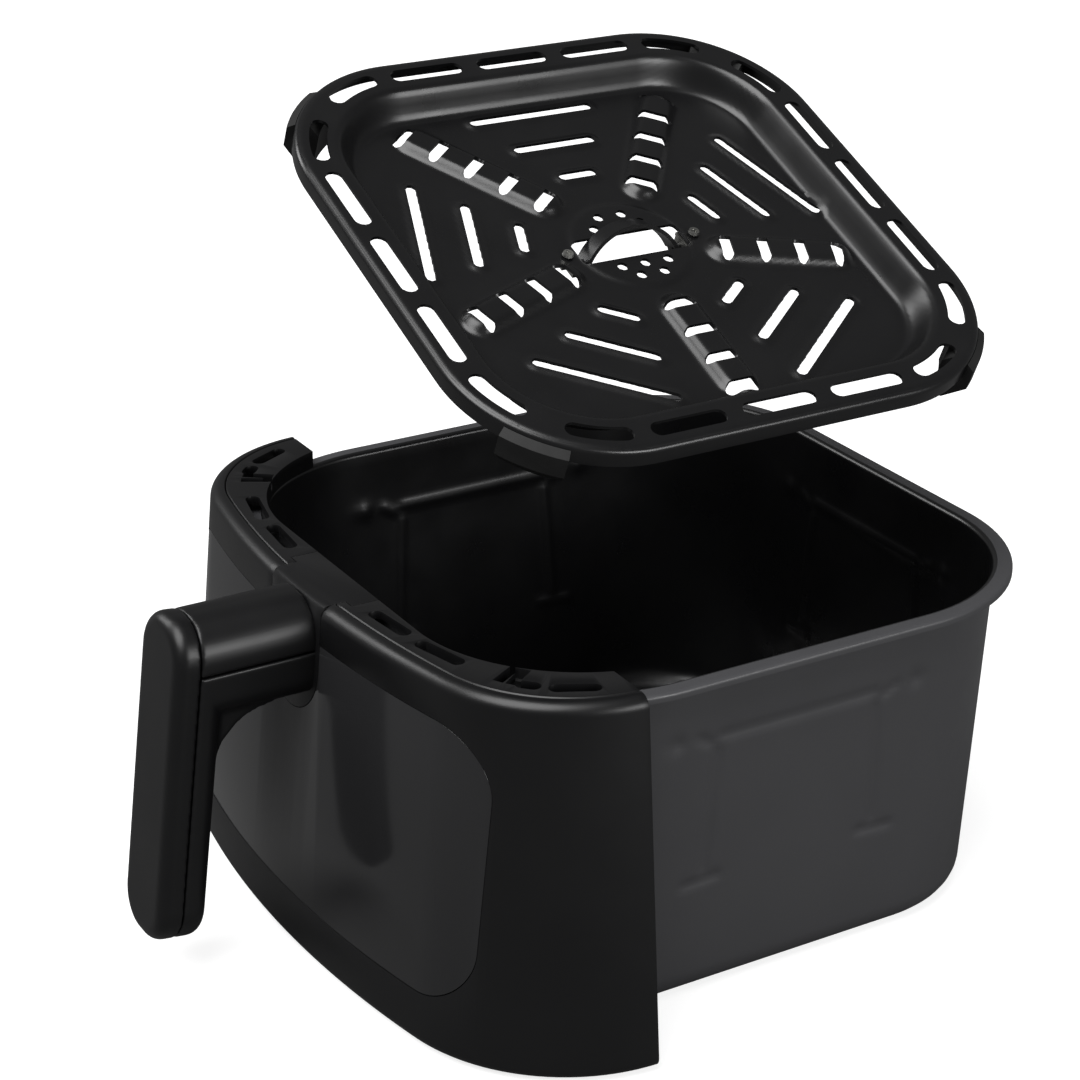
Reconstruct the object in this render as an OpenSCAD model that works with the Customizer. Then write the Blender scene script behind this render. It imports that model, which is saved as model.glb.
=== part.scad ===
// Drawer of a basket air fryer: coated steel pan with a sight glass, curved front
// panel with a smoked window, L-shaped handle, and a lift-out crisper plate.
// The origin is the centre of the pan's base, +Z is up and the handle points along -Y.

/* [Pan] */
// Width and depth of the pan over its rim
pan_w = 250; // [210:1:310]
// Height of the pan from its base to the top of its rim
pan_h = 133; // [105:1:165]
// How far the rim stands out past the top of the wall
rim_lip = 6.5; // [5:0.5:9]
// Depth of the rim's turned-down edge
rim_drop = 3; // [2:0.5:5]
// Corner radius of the rim
rim_corner_r = 72; // [60:1:85]
// Corner radius of the wall at the base
base_corner_r = 56; // [45:1:65]
// Radius of the edge between the wall and the base
base_edge_r = 10; // [7:1:12]
// Lean of the pan's walls from upright, in degrees
wall_draft = 3; // [2:0.5:4]
// Thickness of the pan's sheet steel
sheet_t = 1; // [0.8:0.1:1.5]

/* [Sight glass in the pan] */
// Width of the opening in the pan's front wall
sight_w = 92; // [70:1:98]
// Distance from the top of the pan's rim down to the opening
sight_top = 47; // [44:1:55]
// Distance from the pan's base up to the opening
sight_low = 30; // [24:1:36]
// Corner radius of the opening
sight_r = 12; // [8:1:18]
// Thickness of the sight glass
sight_glass_t = 4; // [3:0.5:5]

/* [Front panel] */
// How far the panel's sides stand outside the rim
panel_side = 10; // [8:1:16]
// How far the panel's front stands before the rim, at the top
panel_front = 12.5; // [11:0.5:20]
// How far the panel wraps back along the pan's sides
panel_wrap = 50; // [42:1:54]
// How much the panel grows outward from its top to its bottom
panel_flare = 12; // [6:1:16]
// Gap between the panel's bottom and what the pan stands on
panel_bottom = 2; // [1:0.5:5]
// Radius of the panel's front arc
front_arc_r = 460; // [380:5:700]
// Radius of the panel's corners
panel_corner_r = 58; // [50:1:64]
// Radius of the panel's top and bottom edges
panel_edge_r = 4; // [2:0.5:5]
// Wall thickness of the panel
shell_t = 3; // [2.5:0.5:4]
// Thickness of the lip round the panel's top
lip_t = 5.5; // [4.5:0.5:6]
// Wall thickness of the inner cover
cover_t = 2.5; // [2:0.5:3]

/* [Window] */
// Distance from the panel's side to the window's side
window_side = 22; // [18:1:40]
// Distance from the panel's top to the window's top
window_top = 14.5; // [14:0.5:25]
// Distance from the panel's bottom to the window's bottom
window_low = 20; // [14:1:35]
// Corner radius of the window
window_r = 24; // [12:1:30]

/* [Trim] */
// How far the trim's top stands above the rim
trim_rise = 7; // [6:0.5:10]
// Thickness of the trim
trim_t = 3; // [2:0.5:4]
// Length of a vent slot
vent_l = 23; // [14:1:26]
// Width of a vent slot
vent_w = 5.5; // [4.5:0.5:6.5]

/* [Handle] */
// Width of the arm and the grip
grip_w = 34; // [28:1:38]
// Thickness of the grip from front to back
grip_t = 19; // [17:0.5:24]
// Length of the grip
grip_l = 125; // [100:1:130]
// Lean of the grip from upright, in degrees
grip_lean = 7; // [3:0.5:10]
// Thickness of the grip's front cover
grip_cover_t = 9; // [8:0.5:10]
// How far the grip's front stands before the panel's top
arm_l = 52; // [46:1:64]
// Height of the arm
arm_h = 36; // [32:1:40]
// Height of the cap on the arm
arm_cap_h = 18; // [16:1:20]
// Radius inside the bend between the arm and the grip
bend_r = 24; // [14:1:26]
// Half width of the handle seat
seat_half = 19.5; // [18:0.5:22]
// Distance from the trim's top to the bottom of the handle seat
seat_drop = 45; // [42:1:50]

/* [Crisper plate] */
// Gap between the crisper plate and the pan's wall when the plate is seated
plate_gap = 4; // [3:0.5:6]
// Corner radius of the plate
plate_corner_r = 56; // [48:1:60]
// Width of the plate's flange
flange_w = 17; // [14:1:19]
// Depth of the tray below the flange
tray_d = 11; // [8:1:14]
// Depth of the turned-down skirt
skirt_d = 7; // [5:1:9]
// Thickness of the plate's sheet
plate_t = 1.2; // [1:0.1:1.6]
// Depth of the silicone bumpers below the flange
bumper_d = 20; // [19:1:26]
// How far the bumpers stand out past the flange
bumper_out = 3; // [2:0.5:4]
// How far the plate is lifted from its seat
plate_lift = 235.7; // [180:0.1:260]
// Tilt of the lifted plate, in degrees
plate_tilt = 23.5; // [0:0.5:30]

/* [Hidden] */
$fn = 48;

// Gap at a seam between two pieces of one assembly
seam = 0.3;
// Gap between two pieces that rest on each other
touch = 0.1;
// Thickness of the slices that a hull joins
slice = 0.01;
// Steps round a quarter of an edge or a corner
edge_steps = 4;
corner_steps = 14;

coated = "#1d1d1e";
satin = "#202021";
smoke = "#2a2a2b";
rubber = "#161616";
steel = "#9a9a98";
glass = "#3a3d40";

// ---- Outline of the pan ----

function wall_half(z) = pan_w / 2 - rim_lip - (pan_h - z) * tan(wall_draft);
function wall_corner(z) =
    base_corner_r + (rim_corner_r - rim_lip - base_corner_r) * z / pan_h;

// A square with rounded corners, counterclockwise
function square_outline(half, r) = [
    for (quarter = [0:3], i = [0:corner_steps])
        let (a = 90 * (quarter + i / corner_steps),
             cx = (quarter == 0 || quarter == 3) ? half - r : r - half,
             cy = quarter < 2 ? half - r : r - half)
            [cx + r * cos(a), cy + r * sin(a)]
];

// A solid skinned over a row of outlines, each with its own height: [outline, z]
module loft(rings) {
    n = len(rings[0][0]);
    last = len(rings) - 1;
    polyhedron(
        points = [for (ring = rings, p = ring[0]) [p[0], p[1], ring[1]]],
        faces = concat(
            [[for (j = [n - 1:-1:0]) j]],
            [for (i = [0:last - 1], j = [0:n - 1])
                [i * n + j, i * n + (j + 1) % n, (i + 1) * n + (j + 1) % n, (i + 1) * n + j]],
            [[for (j = [0:n - 1]) last * n + j]]));
}

// One ring of the pan's wall, drawn in from its outer face by inset
function pan_ring(z, inset) =
    [square_outline(wall_half(z) - inset, wall_corner(z) - inset), z];

// A ring of the pan's rim, drawn in from its outer edge by inset
function rim_ring(z, inset) = [square_outline(pan_w / 2 - inset, rim_corner_r - inset), z];

// The rings up the rounded edge of the base, inset from the outer face
function base_rings(inset, steps) = [
    for (i = steps)
        let (a = 90 * i / edge_steps, r = base_edge_r - inset)
            pan_ring(inset + r * (1 - cos(a)), inset + r * (1 - sin(a)))
];

// Puts the sight glass and its pieces on the pan's leaning front wall, -Y outward
module on_front_wall() {
    translate([0, -wall_half(sight_z), sight_z]) rotate([wall_draft, 0, 0]) children();
}

// A plate in the X-Z plane, between two depths outside the wall
module sight_plate(w, h, r, from, to) {
    translate([0, -from, 0])
        rotate([90, 0, 0])
            linear_extrude(to - from)
                rounded_plate(w, h, r);
}

module rounded_plate(w, h, r) {
    square([w, h - 2 * r], center = true);
    square([w - 2 * r, h], center = true);
    for (x = [-1, 1], y = [-1, 1])
        translate([x * (w / 2 - r), y * (h / 2 - r)]) circle(r);
}

// A slot with round ends along X
module slot(l, w) {
    polygon(concat(
        arc_points((l - w) / 2, 0, w / 2, -90, 90, 6),
        arc_points((w - l) / 2, 0, w / 2, 90, 270, 6)));
}

// ---- Outline of the front panel ----

panel_top = pan_h + trim_rise;
panel_half = pan_w / 2 + panel_side;
panel_reach = pan_w / 2 + panel_front;
panel_back = panel_wrap - pan_w / 2;
arc_y = front_arc_r - panel_reach;
corner_x = panel_half - panel_corner_r;
corner_y = arc_y - sqrt(pow(front_arc_r - panel_corner_r, 2) - pow(corner_x, 2));
arc_turn = asin(corner_x / (front_arc_r - panel_corner_r));

// How much larger the panel's outline is at height z than at its top
function flare(z) = panel_flare * (panel_top - z) / (panel_top - panel_bottom);

function arc_points(cx, cy, r, a0, a1, n) =
    [for (i = [0:n]) let (a = a0 + (a1 - a0) * i / n) [cx + r * cos(a), cy + r * sin(a)]];

// The panel's outline in plan, grown by g, closed along the line y = back
function panel_outline(g, back) =
    let (past = max(0, asin(max(-1, min(1, (corner_y - back) / (panel_corner_r + g))))),
         ends = past > 0 ? [] : [[panel_half + g, back]])
    concat(
        [for (p = ends) [-p[0], p[1]]],
        arc_points(-corner_x, corner_y, panel_corner_r + g,
                   180 + past, 270 - arc_turn, corner_steps),
        arc_points(0, arc_y, front_arc_r + g, 270 - arc_turn, 270 + arc_turn, corner_steps),
        arc_points(corner_x, corner_y, panel_corner_r + g,
                   270 + arc_turn, 360 - past, corner_steps),
        ends);

module panel_slice(z, inset, back) {
    translate([0, 0, z]) linear_extrude(slice) polygon(panel_outline(flare(z) - inset, back));
}

// The space inside the panel's front face, drawn in from it by inset
module panel_body(inset, bottom, top, back) {
    hull() {
        panel_slice(bottom, inset, back);
        panel_slice(top - slice, inset, back);
    }
}

// The panel's outer shape, with round top and bottom edges
module panel_outside() {
    hull()
        for (i = [0:edge_steps]) {
            a = 90 * i / edge_steps;
            rise = panel_edge_r * (1 - cos(a));
            inset = panel_edge_r * (1 - sin(a));
            panel_slice(panel_bottom + rise, inset, panel_back);
            panel_slice(panel_top - rise - slice, inset, panel_back);
        }
}

// A layer of the panel's front wall between two depths
module panel_layer(from, to) {
    difference() {
        panel_body(from, panel_bottom, panel_top, panel_back);
        panel_body(to, panel_bottom - 1, panel_top + 1, 0);
    }
}

// The window's outline seen from the front, grown by g
module window_outline(g) {
    low = panel_bottom + window_low - g;
    high = panel_top - window_top + g;
    half = panel_half - window_side + g;
    translate([0, (low + high) / 2]) rounded_plate(2 * half, high - low, window_r + g);
}

// The handle seat's outline seen from the front, grown by g
module seat_outline(g) {
    bottom = panel_top - seat_drop;
    translate([0, bottom + seat_half]) circle(seat_half + g);
    translate([-seat_half - g, bottom + seat_half])
        square([2 * (seat_half + g), seat_drop]);
}

// Extrudes a front outline through the panel's front wall
module through_front() {
    translate([0, panel_back, 0]) rotate([90, 0, 0]) linear_extrude(2 * pan_w) children();
}

// ---- Places of the fasteners ----

// Screws that hold the inner cover to the front shell, one side
cover_screw_z = [panel_bottom + 22, panel_top - 40];
screw_r = 1.5;
screw_head_r = 2.8;
screw_head_t = 2;
boss_r = 3.6;
end_recess = 3;
function cover_screw_x(z) = panel_half + flare(z) - shell_t - boss_r - 0.3;

// Screws that hold each trim to the inner cover
trim_screw_y = panel_back - 11;
trim_screw_x = corner_x + sqrt(pow(panel_corner_r - lip_t - boss_r - 0.4, 2)
                               - pow(max(0, corner_y - trim_screw_y), 2));
ledge_top = panel_top - 22;
ledge_t = 3;

// The opening's height and its middle, and the seal, frame, studs and nuts round it
sight_h = pan_h - sight_top - sight_low;
sight_z = (pan_h - sight_top + sight_low) / 2;
seal_t = 1.5;
seal_overlap = 6;
frame_t = 1.5;
frame_flange = 13;
stud_r = 1.5;
nut_r = 2.8;
nut_t = 2.2;

// Screws that hold the handle bracket to the pan bracket
bracket_half = 20;
bracket_low = sight_z + sight_h / 2 + frame_flange + 1;
bracket_high = panel_top - arm_cap_h - seam;
bracket_face = pan_w / 2 - 2;
bracket_screw_x = 13;
bracket_screw_r = 2.5;
bracket_screw_z = (bracket_low + bracket_high) / 2;
bar_w = 16;
bar_t = 3;
bar_down = 92;

// Screws of the grip and of the arm's cap
grip_screw_z = [-60, -106];
cap_screw_y = panel_reach + 14;

// ---- Outline of the handle ----

arm_top = panel_top;
arm_split = arm_top - arm_cap_h;
grip_y = panel_reach + arm_l;

// Puts children in the grip's leaning frame: y = 0 is its front, z = 0 its top
module in_grip() {
    translate([0, -grip_y, arm_top]) rotate([-grip_lean, 0, 0]) children();
}

module grip_outline() {
    r = grip_w / 2 - 2;
    rise = grip_cover_t * tan(grip_lean);
    translate([0, rise - grip_l / 2]) rounded_plate(grip_w, grip_l, r);
}

// A slab of the grip between two depths from its front
module grip_slab(from, to) {
    translate([0, to, 0]) rotate([90, 0, 0]) linear_extrude(to - from) grip_outline();
}

module arm_outline() {
    top_r = grip_w / 2 - 2;
    low_r = 8;
    low = arm_top - arm_h;
    translate([-grip_w / 2, low + low_r]) square([grip_w, arm_h - top_r - low_r]);
    translate([low_r - grip_w / 2, low]) square([grip_w - 2 * low_r, arm_h - top_r]);
    translate([top_r - grip_w / 2, low + low_r]) square([grip_w - 2 * top_r, arm_h - low_r]);
    for (x = [-1, 1]) {
        translate([x * (grip_w / 2 - top_r), arm_top - top_r]) circle(top_r);
        translate([x * (grip_w / 2 - low_r), low + low_r]) circle(low_r);
    }
}

// The arm from the panel's face to the plane where the front cover starts
module arm_body() {
    difference() {
        translate([0, -panel_reach + 10, 0])
            rotate([90, 0, 0])
                linear_extrude(arm_l + 30)
                    arm_outline();
        panel_body(-seam, 0, panel_top + 5, panel_back);
        in_grip()
            translate([-grip_w, grip_cover_t + seam - 100, -200]) cube([2 * grip_w, 100, 300]);
    }
}

// The round fillet in the bend between the arm and the grip
module bend_fillet() {
    low = arm_top - arm_h;
    back = grip_t - grip_y - (arm_h + bend_r) * tan(grip_lean);
    side = grip_w / 2 - 4;
    bite = 0.5;
    difference() {
        translate([-side, back - 4, low - bend_r])
            cube([2 * side, bend_r + 4 - bite, bend_r + 4]);
        translate([-grip_w, back + bend_r - bite, low - bend_r + bite])
            rotate([0, 90, 0])
                cylinder(r = bend_r, h = 2 * grip_w, $fn = 64);
    }
}

// ---- Pan and sight glass ----

module pan() {
    color(coated)
    difference() {
        loft(concat(
            base_rings(sheet_t, [0:edge_steps]),
            [pan_ring(pan_h, sheet_t),
             rim_ring(pan_h, 0),
             rim_ring(pan_h - rim_drop, 0),
             rim_ring(pan_h - rim_drop, sheet_t),
             rim_ring(pan_h - sheet_t, sheet_t),
             pan_ring(pan_h - sheet_t, 0)],
            base_rings(0, [edge_steps:-1:0])));
        on_front_wall() sight_plate(sight_w, sight_h, sight_r, -20, 20);
    }
}

module sight_glass() {
    color(glass)
    on_front_wall()
        sight_plate(sight_w + 8, sight_h + 8, sight_r + 4,
                    seal_t + touch, seal_t + touch + sight_glass_t);
}

module sight_seal() {
    lip = 3;
    color(rubber)
    on_front_wall()
        difference() {
            union() {
                sight_plate(sight_w + 2 * seal_overlap, sight_h + 2 * seal_overlap,
                            sight_r + seal_overlap, touch, seal_t);
                sight_plate(sight_w - 2 * touch, sight_h - 2 * touch, sight_r - touch,
                            -sheet_t, seal_t);
            }
            sight_plate(sight_w - 2 * lip, sight_h - 2 * lip, sight_r - lip, -5, 5);
        }
}

module sight_frame() {
    face = seal_t + sight_glass_t + 2 * touch;
    outer_w = sight_w + 2 * frame_flange;
    outer_h = sight_h + 2 * frame_flange;
    hollow_w = sight_w + 2 * seal_overlap + 2;
    hollow_h = sight_h + 2 * seal_overlap + 2;
    color(steel)
    on_front_wall()
        difference() {
            sight_plate(outer_w, outer_h, sight_r + frame_flange, seal_t, face + frame_t);
            sight_plate(hollow_w, hollow_h, sight_r + seal_overlap + 1, 0, face);
            sight_plate(sight_w, sight_h, sight_r, 0, 20);
            stud_places() translate([0, 0, -20]) cylinder(r = stud_r + touch, h = 40);
        }
}

// The six studs round the frame, each along local Z
module stud_places() {
    x = sight_w / 2 + 10;
    z = sight_h / 2 + 10;
    for (p = [[-x + 8, z], [0, z], [x - 8, z], [-x + 8, -z], [0, -z], [x - 8, -z]])
        translate([p[0], 0, p[1]]) rotate([90, 0, 0]) children();
}

module sight_studs() {
    face = seal_t + sight_glass_t + 2 * touch + frame_t;
    color(steel)
    on_front_wall()
        stud_places() {
            translate([0, 0, touch]) cylinder(r = stud_r, h = face + nut_t + 1);
            translate([0, 0, face + touch]) cylinder(r = nut_r, h = nut_t, $fn = 6);
        }
}

// ---- Handle bracket ----

module pan_bracket() {
    color(steel)
    difference() {
        translate([-bracket_half, -bracket_face + touch, bracket_low])
            cube([2 * bracket_half, 20, bracket_high - bracket_low]);
        on_front_wall()
            translate([-bracket_half - 1, -touch, 0]) cube([2 * bracket_half + 2, 30, pan_h]);
        bracket_screw_holes(bracket_screw_r + touch / 2);
    }
}

module bracket_screw_holes(r) {
    for (x = [-1, 1])
        translate([x * bracket_screw_x, 0, bracket_screw_z])
            rotate([90, 0, 0])
                cylinder(r = r, h = 2 * pan_w);
}

// The steel bar in the arm, behind the grip's front plane
module arm_bar(grow) {
    top = arm_split - 0.8;
    difference() {
        translate([-bar_w / 2 - grow, -grip_y - 40, top - bar_t - grow])
            cube([bar_w + 2 * grow, grip_y + 40 - bracket_face - bar_t / 2,
                  bar_t + 2 * grow]);
        in_grip()
            translate([-grip_w, grip_cover_t + 3 * seam - grow - 100, -200])
                cube([2 * grip_w, 100, 300]);
    }
}

// The steel bar's leg down the grip
module grip_bar(grow) {
    in_grip()
        translate([1 - bar_w / 2 - grow, grip_cover_t + 2 * seam - grow, -bar_down - grow])
            cube([bar_w - 2 + 2 * grow, bar_t + 2 * grow,
                  bar_down - arm_cap_h - 1.5 + 2 * grow]);
}

module handle_bracket() {
    color(steel)
    difference() {
        union() {
            translate([-bracket_half, -bracket_face - bar_t, bracket_low])
                cube([2 * bracket_half, bar_t, bracket_high - bracket_low]);
            arm_bar(0);
            grip_bar(0);
        }
        bracket_screw_holes(bracket_screw_r + touch);
        grip_screw_holes(screw_r + 0.4);
        cap_screw_hole(screw_r + 0.4);
    }
}

module bracket_screws() {
    color(steel)
    for (x = [-1, 1])
        translate([x * bracket_screw_x, -bracket_face - bar_t - touch, bracket_screw_z])
            rotate([90, 0, 0]) {
                cylinder(r = 4.5, h = 2.8);
                translate([0, 0, -8]) cylinder(r = bracket_screw_r, h = 9);
            }
}

// ---- Front panel ----

module front_shell() {
    lip_h = trim_rise;
    floor_half = wall_half(panel_bottom + shell_t) + 1.5;
    color(satin)
    difference() {
        union() {
            difference() {
                panel_outside();
                panel_body(shell_t, panel_bottom + shell_t, panel_top - lip_h, 0);
                panel_body(lip_t, panel_top - lip_h - 1, panel_top + 1, 0);
                through_front() window_outline(0);
            }
            for (side = [-1, 1], z = cover_screw_z)
                translate([side * cover_screw_x(z), panel_back - end_recess - cover_t - touch, z])
                    rotate([90, 0, 0])
                        cylinder(r = boss_r, h = 10);
        }
        translate([0, 0, -1])
            linear_extrude(panel_bottom + shell_t + 2)
                polygon(square_outline(floor_half, base_corner_r));
        through_front() seat_outline(seam);
        cover_screw_holes(screw_r + touch / 2);
    }
}

module cover_screw_holes(r) {
    for (side = [-1, 1], z = cover_screw_z)
        translate([side * cover_screw_x(z), panel_back + 1, z])
            rotate([90, 0, 0])
                cylinder(r = r, h = 14);
}

module cover_screws() {
    color(steel)
    for (side = [-1, 1], z = cover_screw_z)
        translate([side * cover_screw_x(z), panel_back - end_recess + touch, z])
            rotate([-90, 0, 0]) {
                cylinder(r = screw_head_r, h = screw_head_t);
                translate([0, 0, -9]) cylinder(r = screw_r, h = 10);
            }
}

module window_pane() {
    color(smoke)
    intersection() {
        panel_layer(0.1, shell_t);
        through_front()
            difference() {
                window_outline(-seam);
                seat_outline(seam);
            }
    }
}

module window_gasket() {
    color(rubber)
    intersection() {
        panel_layer(shell_t + touch, shell_t + 2);
        through_front()
            difference() {
                window_outline(6);
                window_outline(-4);
                seat_outline(2);
            }
    }
}

// The cover behind the panel, hugging the pan
module inner_cover() {
    gap = 1.5;
    low = panel_bottom + shell_t + touch;
    high = pan_h - rim_drop - 2;
    inner = wall_half(pan_h) + gap;
    corner = rim_corner_r - rim_lip + gap;
    end_y = panel_back - end_recess;
    color(satin)
    difference() {
        intersection() {
            panel_body(shell_t + seam, low, high, end_y);
            union() {
                linear_extrude(high)
                    difference() {
                        polygon(square_outline(inner + cover_t, corner + cover_t));
                        polygon(square_outline(inner, corner));
                    }
                for (side = [-1, 1])
                    translate([side * (inner + pan_w / 2), end_y - cover_t / 2, high / 2])
                        cube([pan_w, cover_t, high], center = true);
                for (side = [-1, 1])
                    translate([side * (trim_screw_x - 1), end_y - 9, ledge_top - ledge_t / 2])
                        cube([15, 18, ledge_t], center = true);
            }
        }
        linear_extrude(high + 1) polygon(square_outline(inner, corner));
        on_front_wall()
            sight_plate(sight_w + 2 * frame_flange + 6, sight_h + 2 * frame_flange + 6,
                        sight_r + frame_flange, -10, 60);
        translate([-bracket_half - 2, -pan_w, bracket_low - 2])
            cube([2 * bracket_half + 4, pan_w / 2 + 10, pan_h]);
        cover_screw_holes(screw_r + 0.3);
        trim_screw_places() cylinder(r = screw_r + 0.3, h = 40, center = true);
    }
}

// ---- Trim ----

module trim_screw_places() {
    for (side = [-1, 1])
        translate([side * trim_screw_x, trim_screw_y, ledge_top]) children();
}

module trim_screws() {
    color(steel)
    trim_screw_places() {
        translate([0, 0, -ledge_t - touch - screw_head_t])
            cylinder(r = screw_head_r, h = screw_head_t);
        translate([0, 0, -ledge_t - 1]) cylinder(r = screw_r, h = 14);
    }
}

trim_inner = wall_half(pan_h) - sheet_t - 0.5;
trim_inner_r = wall_corner(pan_h) - sheet_t - 0.5;
trim_skirt = 2;
trim_skirt_low = panel_top - 12;
seat_shoulder = 24;

// The handle seat's top as seen from above: wider behind a step
module seat_plan(grow) {
    step_y = -panel_reach + 10;
    translate([-seat_half - grow, -panel_reach - 5])
        square([2 * (seat_half + grow), 30]);
    translate([-seat_shoulder - grow, step_y - grow])
        square([2 * (seat_shoulder + grow), pan_w / 4]);
}

// The vents: slots along the middle of the band, and open notches near each corner
module vents() {
    mid = (panel_reach - lip_t + trim_inner) / 2;
    corner = panel_corner_r - lip_t;
    for (side = [-1, 1]) {
        for (x = [43, 72])
            translate([side * x, arc_y - sqrt(pow(arc_y + mid, 2) - x * x)])
                rotate(side * (asin(x / (arc_y + mid)) + (x > 60 ? 4 : 0)))
                    slot(vent_l, vent_w);
        for (turn = [27, 47])
            translate([side * corner_x, corner_y])
                rotate(side * (90 - turn))
                    translate([0, 7.5 - corner])
                        slot(turn < 30 ? vent_l - 5 : 9, vent_w);
        for (turn = [54, 60])
            translate([side * corner_x, corner_y])
                rotate(side * (90 - turn))
                    translate([-2, 10 - corner])
                        square([4, 12]);
    }
}

module trim_half(side) {
    plate_z = panel_top - trim_t;
    keep = side > 0 ? 0 : -pan_w;
    low = trim_skirt_low;
    difference() {
        union() {
            difference() {
                translate([0, 0, low])
                    linear_extrude(panel_top - low)
                        polygon(panel_outline(-lip_t - seam, panel_back - 1));
                translate([0, 0, low - 1])
                    linear_extrude(30)
                        polygon(square_outline(trim_inner, trim_inner_r));
                translate([0, 0, low - 1])
                    linear_extrude(pan_h + touch - low + 1)
                        polygon(square_outline(pan_w / 2 + 1, rim_corner_r + 1));
                translate([0, 0, low - 1])
                    linear_extrude(plate_z - low + 1)
                        difference() {
                            polygon(panel_outline(-lip_t - seam - trim_skirt, 0));
                            polygon(square_outline(trim_inner + trim_skirt,
                                                   trim_inner_r + trim_skirt));
                        }
            }
            translate([side * trim_screw_x, trim_screw_y, ledge_top + touch])
                cylinder(r = boss_r, h = plate_z - ledge_top);
        }
        translate([0, 0, plate_z - 1]) linear_extrude(trim_t + 2) vents();
        translate([0, 0, low - 1]) linear_extrude(30) seat_plan(seam);
        translate([-keep - pan_w, -2 * pan_w, 0]) cube([pan_w, 4 * pan_w, 2 * pan_h]);
        translate([side * trim_screw_x, trim_screw_y, ledge_top - 1])
            cylinder(r = screw_r + touch / 2, h = 13);
    }
}

module trim_left() { color(satin) trim_half(-1); }
module trim_right() { color(satin) trim_half(1); }

// ---- Handle ----

module handle_seat() {
    plate_z = panel_top - trim_t;
    color(satin)
    difference() {
        union() {
            intersection() {
                panel_layer(0, shell_t + 2);
                through_front() seat_outline(0);
            }
            difference() {
                intersection() {
                    translate([0, 0, pan_h + touch]) linear_extrude(20) seat_plan(0);
                    translate([0, 0, pan_h + touch])
                        linear_extrude(trim_rise - touch)
                            polygon(panel_outline(-shell_t, panel_back));
                }
                linear_extrude(2 * pan_h) polygon(square_outline(trim_inner, trim_inner_r));
                difference() {
                    translate([-pan_w, -2 * pan_w, 0]) cube([2 * pan_w, 2 * pan_w, plate_z]);
                    linear_extrude(2 * pan_h)
                        polygon(square_outline(trim_inner + trim_skirt,
                                               trim_inner_r + trim_skirt));
                }
            }
        }
        arm_bar(0.3);
    }
}

module arm_cap() {
    color(satin)
    difference() {
        intersection() {
            arm_body();
            translate([-grip_w, -grip_y - 50, arm_split]) cube([2 * grip_w, pan_w, 60]);
        }
        cap_screw_hole(screw_r + touch / 2);
    }
}

module cap_screw_hole(r) {
    translate([0, -cap_screw_y, arm_split - 30]) cylinder(r = r, h = 40);
}

// Deep holes for the heads of the grip's screws, from the back of the grip
module grip_screw_holes(r) {
    in_grip()
        for (z = grip_screw_z)
            translate([0, grip_t + 5, z]) rotate([90, 0, 0]) cylinder(r = r, h = grip_t);
}

module handle_body() {
    head_seat = grip_t - 4;
    color(satin)
    difference() {
        intersection() {
            union() {
                arm_body();
                in_grip() grip_slab(grip_cover_t + seam, grip_t);
                bend_fillet();
            }
            translate([-grip_w, -2 * pan_w, -pan_h])
                cube([2 * grip_w, 3 * pan_w, pan_h + arm_split - seam]);
        }
        in_grip()
            translate([-grip_w, grip_cover_t + seam - 100, -200]) cube([2 * grip_w, 100, 300]);
        arm_bar(0.3);
        grip_bar(0.3);
        translate([-bar_w / 2 - 0.5, -grip_y, arm_split - 2])
            cube([bar_w + 1, grip_y, 4]);
        grip_screw_holes(screw_r + 0.3);
        in_grip()
            for (z = grip_screw_z)
                translate([0, head_seat, z])
                    rotate([-90, 0, 0])
                        cylinder(r = screw_head_r + 0.3, h = 20);
        cap_screw_hole(screw_r + 0.3);
        translate([0, -cap_screw_y, arm_split - 60])
            cylinder(r = screw_head_r + 0.3, h = 50);
    }
}

module grip_cover() {
    color(satin)
    difference() {
        in_grip() grip_slab(0, grip_cover_t);
        in_grip()
            for (z = grip_screw_z)
                translate([0, grip_cover_t + 1, z])
                    rotate([90, 0, 0])
                        cylinder(r = screw_r + touch / 2, h = 7);
    }
}

module cap_screw() {
    color(steel)
    translate([0, -cap_screw_y, arm_split - 10 - touch]) {
        translate([0, 0, -screw_head_t]) cylinder(r = screw_head_r, h = screw_head_t);
        translate([0, 0, -1]) cylinder(r = screw_r, h = 18);
    }
}

module grip_screws() {
    color(steel)
    in_grip()
        for (z = grip_screw_z)
            translate([0, grip_t - 4 + touch, z])
                rotate([-90, 0, 0]) {
                    cylinder(r = screw_head_r, h = screw_head_t);
                    translate([0, 0, -11]) cylinder(r = screw_r, h = 12);
                }
}

// ---- Crisper plate ----

seat_z = sheet_t + bumper_d + seam;
plate_half = wall_half(seat_z) - sheet_t - plate_gap;
tray_top = plate_half - flange_w;
tray_slope = 5.5;
pivot_z = -tray_d - plate_t - 3.4;
pivot_r = 1.5;
slot_row = plate_half - flange_w / 2;
slot_pitch = plate_half * 0.342;
rib_h = 3;
rib_w = 15;
rib_l = [55, 58, 69, 69, 58];

// Puts children on the plate, lifted above its seat and tilted about the strap
module on_plate() {
    translate([0, 0, seat_z + plate_lift + pivot_z])
        rotate([0, plate_tilt, 0])
            translate([0, 0, -pivot_z])
                children();
}

// The flange's slots: three along each side and two round each corner
module flange_slots() {
    centre = plate_half - plate_corner_r;
    r = plate_corner_r - flange_w / 2;
    w = 7;
    for (turn = [0:90:270])
        rotate(turn) {
            for (i = [-1:1])
                translate([i * slot_pitch, -slot_row]) slot(30, w);
            for (a = [[12, 33], [57, 78]])
                translate([centre, centre])
                    polygon(concat(
                        arc_points(0, 0, r + w / 2, a[0], a[1], 5),
                        arc_points(r * cos(a[1]), r * sin(a[1]), w / 2,
                                   a[1] + 30, a[1] + 150, 4),
                        arc_points(0, 0, r - w / 2, a[1], a[0], 5),
                        arc_points(r * cos(a[0]), r * sin(a[0]), w / 2,
                                   a[0] + 210, a[0] + 330, 4)));
        }
}

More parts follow.
